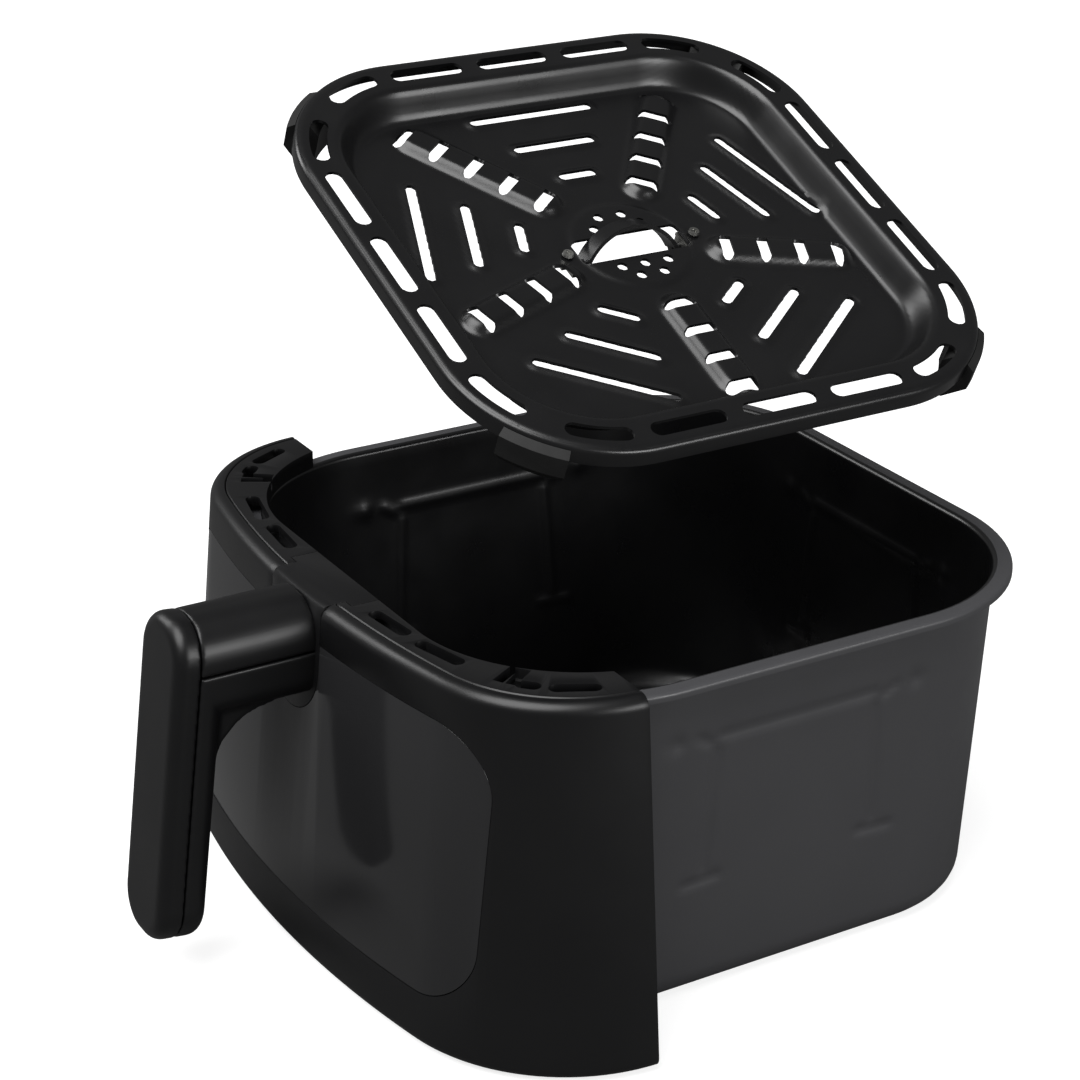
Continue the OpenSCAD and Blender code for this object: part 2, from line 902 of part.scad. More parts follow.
// The floor's slots: three across each sector, and a row across each rib
sector_r = [41, 59.3, 78];
sector_l = [16, 35, 53];
rib_slot_r = 35.6;
rib_slot_pitch = 14.5;

module floor_slots() {
    grow = plate_half / 107;
    for (k = [0:4]) {
        rotate(72 * k + 36)
            for (i = [0:2])
                translate([sector_r[i] * grow, 0]) rotate(90) slot(sector_l[i] * grow, 4);
        rotate(72 * k)
            for (i = [0:(k == 2 || k == 3) ? 4 : 3])
                translate([(rib_slot_r + i * rib_slot_pitch) * grow, 0])
                    rotate(90) slot(14, 5);
    }
    square([13, 46], center = true);
    for (side = [-1, 1]) {
        for (y = [-9.8, 0, 9.8]) translate([side * 10.7, y]) circle(2.1);
        for (y = [-4.9, 4.9]) translate([side * 16.4, y]) circle(2.1);
    }
    for (side = [-1, 1]) translate([0, side * 27]) circle(1.3);
}

// One ring of the plate's sheet, drawn in from the flange's edge by inset
function plate_ring(z, inset) =
    [square_outline(plate_half - inset, plate_corner_r - inset), z];

module crisper_plate() {
    grow = plate_half / 107;
    floor_in = flange_w + tray_slope;
    color(coated)
    on_plate()
        difference() {
            union() {
                loft([
                    plate_ring(-tray_d, floor_in),
                    plate_ring(0, flange_w),
                    plate_ring(0, 0),
                    plate_ring(-skirt_d, 0),
                    plate_ring(-skirt_d, plate_t),
                    plate_ring(-plate_t, plate_t),
                    plate_ring(-plate_t, flange_w - plate_t),
                    plate_ring(-tray_d - plate_t, floor_in - plate_t)
                ]);
                for (k = [0:4])
                    rotate(72 * k)
                        translate([28 * grow, -rib_w / 2, -tray_d - 0.5])
                            cube([rib_l[k] * grow, rib_w, rib_h + 0.5]);
            }
            translate([0, 0, -tray_d - 5]) linear_extrude(15) floor_slots();
            translate([0, 0, -plate_t - 1]) linear_extrude(plate_t + 2) flange_slots();
        }
}

// The two eyes under the plate's hub that the strap's ends turn in
module strap_eyes() {
    top = -tray_d - plate_t - touch;
    color(steel)
    on_plate()
        for (side = [-1, 1])
            difference() {
                union() {
                    translate([-4, side > 0 ? 22 : -31, top - 1.2]) cube([8, 9, 1.2]);
                    translate([-3.5, side * 23.5 - 1.5, pivot_z - 3])
                        cube([7, 3, top - pivot_z + 3]);
                }
                translate([0, 0, pivot_z])
                    rotate([90, 0, 0])
                        cylinder(r = pivot_r + 0.06, h = 80, center = true);
                translate([0, side * 27, top - 5]) cylinder(r = 1.25, h = 10);
            }
}

module eye_rivets() {
    color(steel)
    on_plate()
        for (side = [-1, 1])
            translate([0, side * 27, 0]) {
                translate([0, 0, -tray_d - plate_t - 2.6]) cylinder(r = 1.15, h = plate_t + 3);
                translate([0, 0, -tray_d + touch]) cylinder(r = 2.2, h = 1);
            }
}

// The arched strap that the plate is lifted by, with a round pin at each end
module lift_strap() {
    half = 20;
    rise = 12.5;
    r = (half * half + rise * rise) / (2 * rise);
    strip_t = 1.5;
    strip_w = 8;
    color(coated)
    translate([0, 0, seat_z + plate_lift + pivot_z]) {
        rotate([90, 0, 90])
            translate([0, 0, -strip_w / 2])
                linear_extrude(strip_w)
                    intersection() {
                        translate([0, rise - r])
                            difference() {
                                circle(r, $fn = 96);
                                circle(r - strip_t, $fn = 96);
                            }
                        translate([-half, -0.5]) square([2 * half, rise + 1]);
                    }
        for (side = [-1, 1])
            translate([0, side * (half - 2), 0])
                rotate([-90 * side, 0, 0])
                    cylinder(r = pivot_r, h = 7.3);
    }
}

// A silicone bumper that grips the skirt at one corner and stands on the pan's base
module bumper(turn) {
    centre = plate_half - plate_corner_r;
    r = plate_corner_r;
    half_angle = 12;
    color(rubber)
    on_plate()
        rotate(turn)
            translate([centre, centre, 0])
                rotate(45 - half_angle)
                    rotate_extrude(angle = 2 * half_angle, $fn = 120)
                        polygon([
                            [r + touch, -2], [r + bumper_out, -4],
                            [r + bumper_out, -bumper_d + 8], [r - 4.5, -bumper_d],
                            [r - 9, -bumper_d], [r - 9, -plate_t - touch - 4],
                            [r - 5, -plate_t - touch],
                            [r - plate_t - touch, -plate_t - touch],
                            [r - plate_t - touch, -skirt_d - touch],
                            [r + touch, -skirt_d - touch]
                        ]);
}

module bumper_back_right() { bumper(0); }
module bumper_back_left() { bumper(90); }
module bumper_front_left() { bumper(180); }
module bumper_front_right() { bumper(270); }

pan();
sight_glass();
sight_seal();
sight_frame();
sight_studs();
pan_bracket();
handle_bracket();
bracket_screws();
front_shell();
window_pane();
window_gasket();
inner_cover();
cover_screws();
trim_left();
trim_right();
trim_screws();
handle_seat();
arm_cap();
handle_body();
grip_cover();
cap_screw();
grip_screws();
crisper_plate();
strap_eyes();
eye_rivets();
lift_strap();
bumper_front_left();
bumper_front_right();
bumper_back_left();
bumper_back_right();
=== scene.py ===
# %% [markdown]
# # The drawer of a basket air fryer, with its crisper plate
#
# This lesson dresses an exact CAD model for a picture. The CAD gives the sizes, the
# hidden pieces and the joints. Blender gives the pieces that show their real skin:
# soft moulded edges, pressed sheet metal and real finishes.
# Everything is in metres, +Z is up and the handle points along -Y.

import math

import bmesh
import bpy
import numpy as np
from mathutils import Matrix, Vector


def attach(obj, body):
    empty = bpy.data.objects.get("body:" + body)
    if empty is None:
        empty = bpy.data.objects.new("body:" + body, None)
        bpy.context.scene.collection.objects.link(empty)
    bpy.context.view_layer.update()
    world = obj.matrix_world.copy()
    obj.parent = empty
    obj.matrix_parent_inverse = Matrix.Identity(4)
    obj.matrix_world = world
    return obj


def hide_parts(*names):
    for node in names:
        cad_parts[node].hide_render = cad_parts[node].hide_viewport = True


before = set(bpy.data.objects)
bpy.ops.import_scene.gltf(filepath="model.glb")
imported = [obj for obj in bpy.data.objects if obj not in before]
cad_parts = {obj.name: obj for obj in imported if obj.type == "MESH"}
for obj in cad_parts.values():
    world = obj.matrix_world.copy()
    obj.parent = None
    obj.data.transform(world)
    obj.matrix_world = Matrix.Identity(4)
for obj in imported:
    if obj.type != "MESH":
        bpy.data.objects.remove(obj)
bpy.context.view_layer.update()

MM = 0.001

# %% [markdown]
# ## Finishes
#
# A finish on a real object is a base colour, a gloss, and the small marks that the way
# of making it leaves. Each material below starts from what the piece is made of. One
# function turns a colour as a paint chart gives it into the linear light that a
# renderer works in, and another adds a node, so that each material reads as a list.

# %% Two helpers for materials
def linear(hex_colour):
    """An sRGB hex colour as linear RGBA."""
    parts = [int(hex_colour[i:i + 2], 16) / 255 for i in (1, 3, 5)]
    return [p / 12.92 if p <= 0.04045 else ((p + 0.055) / 1.055) ** 2.4 for p in parts] + [1.0]


def add(tree, kind, settings=None, inputs=None):
    """Adds a node. An input is a value, or another node's output socket to link."""
    made = tree.nodes.new(kind)
    for name, value in (settings or {}).items():
        setattr(made, name, value)
    for name, value in (inputs or {}).items():
        if isinstance(value, bpy.types.NodeSocket):
            tree.links.new(value, made.inputs[name])
        else:
            made.inputs[name].default_value = value
    return made


def finish_of(name, base, roughness, **shader):
    """A new material with a Principled shader; returns it, its tree and the shader."""
    material = bpy.data.materials.new(name)
    material.use_nodes = True
    tree = material.node_tree
    tree.nodes.clear()
    principled = add(tree, "ShaderNodeBsdfPrincipled",
                     inputs={"Base Color": linear(base), "Roughness": roughness, **shader})
    out = add(tree, "ShaderNodeOutputMaterial")
    tree.links.new(principled.outputs[0], out.inputs["Surface"])
    return material, tree, principled


def grain(tree, principled, size_mm, depth_mm, strength, detail=2.0, stretch=(1, 1, 1)):
    """A fine surface texture: bumps of a real size, on the piece's own coordinates."""
    where = add(tree, "ShaderNodeTexCoord")
    turned = add(tree, "ShaderNodeMapping",
                 inputs={"Vector": where.outputs["Object"], "Scale": stretch})
    noise = add(tree, "ShaderNodeTexNoise",
                inputs={"Vector": turned.outputs[0], "Scale": 1 / (size_mm * MM),
                        "Detail": detail})
    bump = add(tree, "ShaderNodeBump",
               inputs={"Height": noise.outputs["Fac"], "Strength": strength,
                       "Distance": depth_mm * MM})
    tree.links.new(bump.outputs[0], principled.inputs["Normal"])
    return noise


def vary(tree, principled, socket, low, high, size_mm):
    """Slow variation of one of the shader's inputs over the surface."""
    where = add(tree, "ShaderNodeTexCoord")
    noise = add(tree, "ShaderNodeTexNoise",
                inputs={"Vector": where.outputs["Object"], "Scale": 1 / (size_mm * MM),
                        "Detail": 4.0})
    if isinstance(low, str):
        ramp = add(tree, "ShaderNodeValToRGB", inputs={"Fac": noise.outputs["Fac"]})
        ramp.color_ramp.elements[0].position = 0.35
        ramp.color_ramp.elements[1].position = 0.65
        ramp.color_ramp.elements[0].color = linear(low)
        ramp.color_ramp.elements[1].color = linear(high)
        tree.links.new(ramp.outputs[0], principled.inputs[socket])
    else:
        span = add(tree, "ShaderNodeMapRange",
                   inputs={"Value": noise.outputs["Fac"], "From Min": 0.3, "From Max": 0.7,
                           "To Min": low, "To Max": high})
        tree.links.new(span.outputs[0], principled.inputs[socket])


# %% [markdown]
# ### Moulded ABS
#
# The panel, trims and handle are black ABS. The mould is lightly spark-eroded, which
# leaves a satin skin: highlights are broad and soft, never sharp. The erosion is about
# 0.3 mm across; it is drawn at 0.5 mm, as coarse as it needs to be to show.

# %% ABS, satin
satin_abs, tree, shader = finish_of("satin moulded ABS", "#0b0b0c", 0.36, IOR=1.42)
grain(tree, shader, 0.5, 0.02, 0.25)
vary(tree, shader, "Roughness", 0.33, 0.41, 40)

# %% [markdown]
# ### Non-stick coating
#
# The pan and plate are sheet steel with a sprayed and baked PTFE coating. Outside it is
# satin, inside it is applied thicker and is glossier. The outside's lighter grey is partly
# the satin coating and partly a painted reflection of the pale floor, which glossy rays
# see dark. Spraying leaves a faint orange peel of about a millimetre, and tiny lighter flakes.

# %% Coatings, one for the outside and one for the inside
def coating(name, dark, light, rough_low, rough_high, peel):
    material, tree, shader = finish_of(name, dark, rough_low, IOR=1.5)
    grain(tree, shader, 1.4, 0.03, peel, detail=3.0)
    vary(tree, shader, "Roughness", rough_low, rough_high, 25)
    where = add(tree, "ShaderNodeTexCoord")
    flakes = add(tree, "ShaderNodeTexVoronoi",
                 inputs={"Vector": where.outputs["Object"], "Scale": 1 / (1.6 * MM)})
    ramp = add(tree, "ShaderNodeValToRGB", inputs={"Fac": flakes.outputs["Distance"]})
    ramp.color_ramp.elements[0].position = 0.05
    ramp.color_ramp.elements[1].position = 0.16
    ramp.color_ramp.elements[0].color = linear(light)
    ramp.color_ramp.elements[1].color = linear(dark)
    tree.links.new(ramp.outputs[0], shader.inputs["Base Color"])
    return material


# The outer coating's base grey is lifted by a painted reflection of the floor; the flakes are
# real.
outer_coating_painted_reflection = coating("satin non-stick coating with painted floor reflection", "#3c3c3e", "#464648", 0.38, 0.48, 0.2)
inner_coating = coating("glossy non-stick coating", "#0c0c0d", "#161617", 0.26, 0.34, 0.2)

# %% [markdown]
# ### Smoked acrylic, silicone, steel and glass
#
# The window is smoked acrylic, polished on its outside, so dark that nothing behind it
# shows. Silicone is matt and never quite black. Screws are zinc-plated steel. The sight
# glass is tempered soda-lime glass.

# %% The other finishes
smoked_acrylic, tree, shader = finish_of("smoked polished acrylic", "#232324", 0.12, IOR=1.45)
grain(tree, shader, 12, 0.02, 0.08)
vary(tree, shader, "Roughness", 0.09, 0.14, 30)

silicone, tree, shader = finish_of("moulded silicone", "#121212", 0.62, IOR=1.41)
grain(tree, shader, 0.8, 0.03, 0.3)
vary(tree, shader, "Base Color", "#101010", "#171717", 6)

zinc_steel, tree, shader = finish_of("zinc-plated steel", "#a7a7a3", 0.34, Metallic=1.0)
grain(tree, shader, 0.6, 0.02, 0.25, stretch=(1, 1, 6))
vary(tree, shader, "Roughness", 0.28, 0.45, 5)

tempered_glass, tree, shader = finish_of("tempered glass", "#f0f4f2", 0.02, IOR=1.52)
shader.inputs["Transmission Weight"].default_value = 1.0
grain(tree, shader, 20, 0.02, 0.05)
vary(tree, shader, "Roughness", 0.01, 0.04, 30)

# %% [markdown]
# ## Outlines
#
# The pan's plan is a square with round corners, and the panel's plan is a shallow arc
# with a tighter arc at each end. Both are written once, as functions of how far to draw
# them in or out, and every piece below uses them. The sizes are the CAD's.

# %% Sizes, in millimetres
PAN_HALF, PAN_H, RIM_LIP, RIM_DROP, RIM_R = 125.0, 133.0, 6.5, 3.0, 72.0
BASE_R, BASE_EDGE, DRAFT, SHEET = 56.0, 10.0, math.tan(math.radians(3)), 1.0
PANEL_HALF, REACH, BACK, FLARE = 135.0, 137.5, -75.0, 12.0
TOP, BOTTOM, ARC_R, CORNER_R, SHELL, LIP = 140.0, 2.0, 460.0, 58.0, 3.0, 5.5
ARC_Y = ARC_R - REACH
CORNER_X = PANEL_HALF - CORNER_R
CORNER_Y = ARC_Y - math.sqrt((ARC_R - CORNER_R) ** 2 - CORNER_X ** 2)
TURN = math.degrees(math.asin(CORNER_X / (ARC_R - CORNER_R)))
SEAT_HALF, SEAT_LOW = 19.5, 95.0
GRIP_W, GRIP_L, GRIP_T, COVER_T, GRIP_Y = 34.0, 125.0, 19.0, 9.0, 189.5
LEAN = math.radians(7)
ARM_H, SPLIT, BEND_R = 36.0, 122.0, 24.0


def arc(cx, cy, r, a0, a1, n):
    a = np.radians(np.linspace(a0, a1, n + 1))
    return np.stack([cx + r * np.cos(a), cy + r * np.sin(a)], 1)


def round_square(half, r, corner=24, side=1):
    """A closed square with round corners, counterclockwise."""
    rows = []
    for q, (sx, sy) in enumerate([(1, 1), (-1, 1), (-1, -1), (1, -1)]):
        turn = arc(sx * (half - r), sy * (half - r), r, 90 * q, 90 * q + 90, corner)
        following = [(-1, 1), (-1, -1), (1, -1), (1, 1)][q]
        start = np.array([following[0] * (half - r), following[1] * (half - r)])
        first = start + r * np.array([math.cos(math.radians(90 * q + 90)),
                                      math.sin(math.radians(90 * q + 90))])
        steps = np.linspace(0, 1, side + 1)[1:-1, None]
        rows += [turn, turn[-1] + steps * (first - turn[-1])]
    return np.concatenate(rows)


def panel_line(grow):
    """The panel's plan from its left end round the front to its right end."""
    past = math.degrees(math.asin((CORNER_Y - BACK) / (CORNER_R + grow)))
    return np.concatenate([
        arc(-CORNER_X, CORNER_Y, CORNER_R + grow, 180 + past, 270 - TURN, 28),
        arc(0, ARC_Y, ARC_R + grow, 270 - TURN, 270 + TURN, 36)[1:-1],
        arc(CORNER_X, CORNER_Y, CORNER_R + grow, 270 + TURN, 360 - past, 28),
    ])


def flare(z):
    return FLARE * (TOP - z) / (TOP - BOTTOM)


def wall_half(z):
    return PAN_HALF - RIM_LIP - (PAN_H - z) * DRAFT


def wall_corner(z):
    return BASE_R + (RIM_R - RIM_LIP - BASE_R) * z / PAN_H


# %% [markdown]
# ## From outlines to solids
#
# Most pieces here are skins stretched over a row of outlines. One function joins rings
# of equal length with quads, one extrudes a flat outline, and one lets two solids cut or
# join each other. A last helper smooths the shading but keeps true edges sharp.

# %% Helpers for meshes
def new_piece(name, points_mm, faces, material, angle=35):
    mesh = bpy.data.meshes.new(name)
    mesh.from_pydata((np.asarray(points_mm, float) * MM).tolist(), [], faces)
    bm = bmesh.new()
    bm.from_mesh(mesh)
    bmesh.ops.remove_doubles(bm, verts=bm.verts, dist=1e-6)
    bmesh.ops.recalc_face_normals(bm, faces=bm.faces)
    bm.to_mesh(mesh)
    bm.free()
    piece = bpy.data.objects.new(name, mesh)
    bpy.context.collection.objects.link(piece)
    mesh.materials.append(material)
    soften(piece, angle)
    return piece


def soften(piece, angle=35):
    piece.data.shade_smooth()
    piece.data.set_sharp_from_angle(angle=math.radians(angle))


def skin(rings, ring_closed=True, row_closed=False):
    """Faces and points for quads between rings; open rows get a cap at each end."""
    rings = [np.asarray(r, float) for r in rings]
    n, m = len(rings[0]), len(rings)
    faces = []
    for i in range(m if row_closed else m - 1):
        k = (i + 1) % m
        for j in range(n if ring_closed else n - 1):
            l = (j + 1) % n
            faces.append((i * n + j, i * n + l, k * n + l, k * n + j))
    if ring_closed and not row_closed:
        faces += [tuple(range(n))[::-1], tuple((m - 1) * n + j for j in range(n))]
    if row_closed and not ring_closed:
        faces += [tuple(i * n for i in range(m)), tuple(i * n + n - 1 for i in range(m))[::-1]]
    return np.concatenate(rings), faces


def at_height(outline, z):
    return np.column_stack([outline, np.full(len(outline), z)])


def prism(name, outline, low, high, along="z"):
    """A flat outline made solid, along Z, or along Y for an outline in X and Z."""
    outline = np.asarray(outline, float)
    if along == "z":
        rings = [at_height(outline, low), at_height(outline, high)]
    else:
        rings = [np.column_stack([outline[:, 0], np.full(len(outline), y), outline[:, 1]])
                 for y in (low, high)]
    return new_piece(name, *skin(rings), satin_abs)


def block(name, low, high):
    x, y = (low[0], high[0]), (low[1], high[1])
    outline = [(x[0], y[0]), (x[1], y[0]), (x[1], y[1]), (x[0], y[1])]
    return prism(name, outline, low[2], high[2])


def settle(piece):
    """Applies every modifier, leaving a plain mesh."""
    evaluated = piece.evaluated_get(bpy.context.evaluated_depsgraph_get())
    mesh = bpy.data.meshes.new_from_object(evaluated)
    piece.modifiers.clear()
    piece.data = mesh
    return piece


def combine(piece, other, how):
    """Cuts, joins or intersects a piece with another, which is then thrown away."""
    made = piece.modifiers.new(how, "BOOLEAN")
    made.operation, made.object, made.solver = how, other, "EXACT"
    bpy.context.view_layer.update()
    settle(piece)
    bpy.data.objects.remove(other)
    return piece


def mould(piece, voxel_mm, rounds):
    """Rounds every edge of a moulding: an even skin of small quads, then smoothed."""
    even = piece.modifiers.new("even skin", "REMESH")
    even.mode, even.voxel_size, even.use_smooth_shade = "VOXEL", voxel_mm * MM, True
    smooth = piece.modifiers.new("soft edges", "SMOOTH")
    smooth.factor, smooth.iterations = 0.5, rounds
    bpy.context.view_layer.update()
    settle(piece)
    piece.data.shade_smooth()
    return piece


def rounded_box(w, h, r, cz, n=16):
    """A closed rounded rectangle in X and Z, centred on x = 0."""
    rows = []
    for q, (sx, sy) in enumerate([(1, 1), (-1, 1), (-1, -1), (1, -1)]):
        rows.append(arc(sx * (w / 2 - r), cz + sy * (h / 2 - r), r, 90 * q, 90 * q + 90, n))
    return np.concatenate(rows)


# %% [markdown]
# ## The pan
#
# The pan is deep drawn from one sheet, so its inside is its outside moved in by the
# sheet's thickness. The press also leaves shallow embossing that stiffens each wall: a
# ledge, two uprights with feet, and a dimple at each side. Both skins are moved by the
# same depth, as real sheet is. A fine grid is needed only because of that embossing.

# %% Embossing of a wall, as a depth in millimetres at x along the wall and height z
def ridge(distance, width):
    return np.exp(-(distance / width) ** 2)


def segment(x, z, x0, z0, x1, z1):
    """Distance from (x, z) to a straight line between two points."""
    dx, dz = x1 - x0, z1 - z0
    t = np.clip(((x - x0) * dx + (z - z0) * dz) / (dx * dx + dz * dz), 0, 1)
    return np.hypot(x - x0 - t * dx, z - z0 - t * dz)


def embossing(x, z):
    lines = [segment(x, z, -33, 106.5, 33, 106.5)]
    dimples = np.full_like(x, 99.0)
    for side in (-1, 1):
        lines += [segment(x, z, side * 34, 101, side * 37, 52),
                  segment(x, z, side * 31, 49, side * 45, 48),
                  segment(x, z, side * 37, 104.5, side * 42, 107.5)]
        dimples = np.minimum(dimples, np.hypot(x - side * 51, z - 107.5))
    return 1.0 * ridge(np.min(lines, 0), 1.7) + 1.2 * ridge(dimples, 3.2)


# %% The pan's two skins and its rim
def pan_ring(z, inset, emboss=0.0):
    half, r = wall_half(z) - inset, wall_corner(z) - inset
    ring = round_square(half, r, 26, 64)
    if emboss:
        for q in range(4):
            c, s = round(math.cos(q * math.pi / 2)), round(math.sin(q * math.pi / 2))
            out, along = ring @ np.array([c, s]), ring @ np.array([-s, c])
            flat = (out > half - 0.02) & (np.abs(along) < half - r + 0.01)
            push = embossing(along, np.full(len(along), z)) * emboss
            ring[flat] -= (push[flat, None]) * np.array([c, s])
    return at_height(ring, z)


def pan_skin(inset):
    r = BASE_EDGE - inset
    rings = []
    for a in np.radians(np.linspace(0, 90, 8)):
        rings.append(pan_ring(inset + r * (1 - math.cos(a)), inset + r * (1 - math.sin(a))))
    for z in np.linspace(BASE_EDGE + 2, PAN_H - 6, 64):
        rings.append(pan_ring(z, inset, 1.0))
    return rings


def rim_ring(z, inset):
    return at_height(round_square(PAN_HALF - inset, RIM_R - inset, 26, 64), z)


inner = pan_skin(SHEET)
outer = pan_skin(0.0)
roll = []
for a in np.radians(np.linspace(0, 90, 6)):
    roll.append(pan_ring(PAN_H - 1.8 * (1 - math.sin(a)), SHEET - 1.8 * (1 - math.cos(a))))
edge = [rim_ring(PAN_H - 1.6 * (1 - math.cos(a)), 1.6 * (1 - math.sin(a)))
        for a in np.radians(np.linspace(0, 90, 6))]
under = [rim_ring(PAN_H - RIM_DROP, 0), rim_ring(PAN_H - RIM_DROP, SHEET),
         rim_ring(PAN_H - SHEET - 0.3, SHEET), pan_ring(PAN_H - SHEET - 0.3, 0)]
points, faces = skin(inner + roll + edge + under + outer[::-1])
pan = new_piece("pan_skin", points, faces, outer_coating_painted_reflection, 50)
pan.data.materials.append(inner_coating)
# Faces that face in take the inner coating; the rest keep the outer one, lighter by a painted
# floor reflection.
for face in pan.data.polygons:
    middle = face.center
    level = middle.z / MM
    outward = max(abs(middle.x), abs(middle.y)) / MM
    facing_in = face.normal.dot(Vector((middle.x, middle.y, 0))) < 0
    floor_top = level < 12 and face.normal.z > 0.3
    if (facing_in and outward < PAN_HALF - 3) or floor_top:
        face.material_index = 1
print("pan faces", len(pan.data.polygons))


# %% The sight opening in the front wall
SIGHT_Z = 58


def on_front_wall(outline, near, far):
    """A solid through the leaning front wall, from an outline in X and the wall's height."""
    turn = Matrix.Rotation(math.radians(3), 3, "X")
    place = Vector((0, -wall_half(SIGHT_Z), SIGHT_Z))
    rings = []
    for y in (near, far):
        rings.append([tuple(place + turn @ Vector((p[0], y, p[1]))) for p in outline])
    return new_piece("wall tool", *skin(rings), satin_abs)


combine(pan, on_front_wall(rounded_box(92, 56, 12, 0), -10, 10), "DIFFERENCE")
soften(pan, 50)
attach(pan, "drawer")
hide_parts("pan")

# %% [markdown]
# ## The front panel
#
# The panel is one injection moulding. Its section is the same all the way round, so it
# is swept: a closed section of insets and heights, carried along the panel's plan. The
# plan grows downward, which gives the panel its flare. The window and the place for the
# handle's seat are then cut through it.

# %% Sweeping a section along the panel's plan
def sweep(name, section, material=satin_abs, angle=35):
    """section is a closed list of (inset, height)."""
    rows = [at_height(panel_line(flare(z) - inset), z) for inset, z in section]
    return new_piece(name, *skin(rows, ring_closed=False, row_closed=True), material, angle)


def quarter(r, z0, up):
    """Insets and heights round a top or bottom edge of radius r."""
    turn = np.radians(np.linspace(0, 90, 9))
    if up:
        return [(r * (1 - math.sin(a)), z0 + r * (1 - math.cos(a))) for a in turn]
    return [(r * (1 - math.sin(a)), z0 - r * (1 - math.cos(a))) for a in turn[::-1]]


window = rounded_box(2 * (PANEL_HALF - 22), 103.5, 24, 73.75, 20)
window_gap = rounded_box(2 * (PANEL_HALF - 22) - 0.7, 102.8, 23.7, 73.75, 20)


def seat_outline(grow):
    under = arc(0, SEAT_LOW + SEAT_HALF, SEAT_HALF + grow, 180, 360, 24)
    return np.concatenate([under, [[SEAT_HALF + grow, TOP + 20], [-SEAT_HALF - grow, TOP + 20]]])


def through_front(outline):
    return prism("front tool", outline, -250, BACK - 20, "y")


shell_section = (quarter(4, BOTTOM, True) + quarter(4.5, TOP, False)
                 + [(LIP - 0.4, TOP), (LIP, TOP - 0.4), (LIP, TOP - 8), (SHELL, TOP - 10),
                    (SHELL, BOTTOM + SHELL), (12, BOTTOM + SHELL), (12, BOTTOM)])
shell = sweep("panel_shell", shell_section)
floor_line = panel_line(flare(3) - 9)
shell_floor = prism("panel floor", floor_line, BOTTOM + 0.2, BOTTOM + SHELL - 0.2)
combine(shell_floor, prism("floor tool", round_square(wall_half(5) + 1.5, BASE_R), -5, 20),
        "DIFFERENCE")
combine(shell, shell_floor, "UNION")
combine(shell, through_front(window), "DIFFERENCE")
combine(shell, through_front(seat_outline(0.3)), "DIFFERENCE")


def ease(piece, width_mm, angle):
    """A small round on every true edge, so that it catches the light."""
    bevel = piece.modifiers.new("eased edges", "BEVEL")
    bevel.width, bevel.segments = width_mm * MM, 2
    bevel.limit_method, bevel.angle_limit = "ANGLE", math.radians(angle)
    bevel.harden_normals = False
    bpy.context.view_layer.update()
    settle(piece)
    soften(piece, 40)


ease(shell, 0.5, 50)
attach(shell, "drawer")
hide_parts("front_shell")
print("shell faces", len(shell.data.polygons))

# %% [markdown]
# ## The window
#
# The pane is a smoked moulding that fills the opening, flush with the panel round it.
# Because it is cut from the same sweep as the panel, its face carries on the panel's
# curve exactly, and only a fine seam parts the two.

# %% The pane
pane = sweep("smoked_window", [(0.1, 8), (0.1, 134), (3, 134), (3, 8)], smoked_acrylic)
combine(pane, through_front(window_gap), "INTERSECT")
combine(pane, through_front(seat_outline(0.3)), "DIFFERENCE")
pane.data.materials.clear()
pane.data.materials.append(smoked_acrylic)
ease(pane, 0.35, 50)
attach(pane, "drawer")
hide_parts("window_pane")

# %% [markdown]
# ## The trims
#
# A vented band covers the gap between the pan's rim and the panel. It is moulded in two
# halves that stop at the handle's seat. Each half is a plate with a skirt along its inner
# edge that stands on the pan's rim. The vents let steam out in front of the rim.

# %% One half of the trim
TRIM_IN = wall_half(PAN_H) - SHEET - 0.5
TRIM_IN_R = wall_corner(PAN_H) - SHEET - 0.5
PLATE_Z = TOP - 3.0


def slot_line(length, width, x, y, turn):
    line = np.concatenate([arc((length - width) / 2, 0, width / 2, -90, 90, 10),
                           arc((width - length) / 2, 0, width / 2, 90, 270, 10)])
    c, s = math.cos(math.radians(turn)), math.sin(math.radians(turn))
    return line @ np.array([[c, s], [-s, c]]) + np.array([x, y])


def vents(side):
    middle = (REACH - LIP + TRIM_IN) / 2
    for x in (43, 72):
        radius = ARC_Y + middle
        turn = math.degrees(math.asin(x / radius)) + (4 if x > 60 else 0)
        yield slot_line(23, 5.5, side * x, ARC_Y - math.sqrt(radius ** 2 - x * x), side * turn)
    for turn, length in ((27, 18), (47, 9)):
        a = math.radians(side * (90 - turn))
        reach = CORNER_R - LIP - 7.5
        yield slot_line(length, 5.5, side * CORNER_X + math.sin(a) * reach,
                        CORNER_Y - math.cos(a) * reach, math.degrees(a))
    for turn in (54, 60):
        a = math.radians(side * (90 - turn))
        reach = CORNER_R - LIP - 4
        c, s = math.cos(a), math.sin(a)
        corners = np.array([(-2, 0), (2, 0), (2, 12), (-2, 12)])
        where = np.array([side * CORNER_X + s * (reach - 2), CORNER_Y - c * (reach - 2)])
        yield corners @ np.array([[c, s], [-s, c]]) + where


SEAT_STEP = -REACH + 10


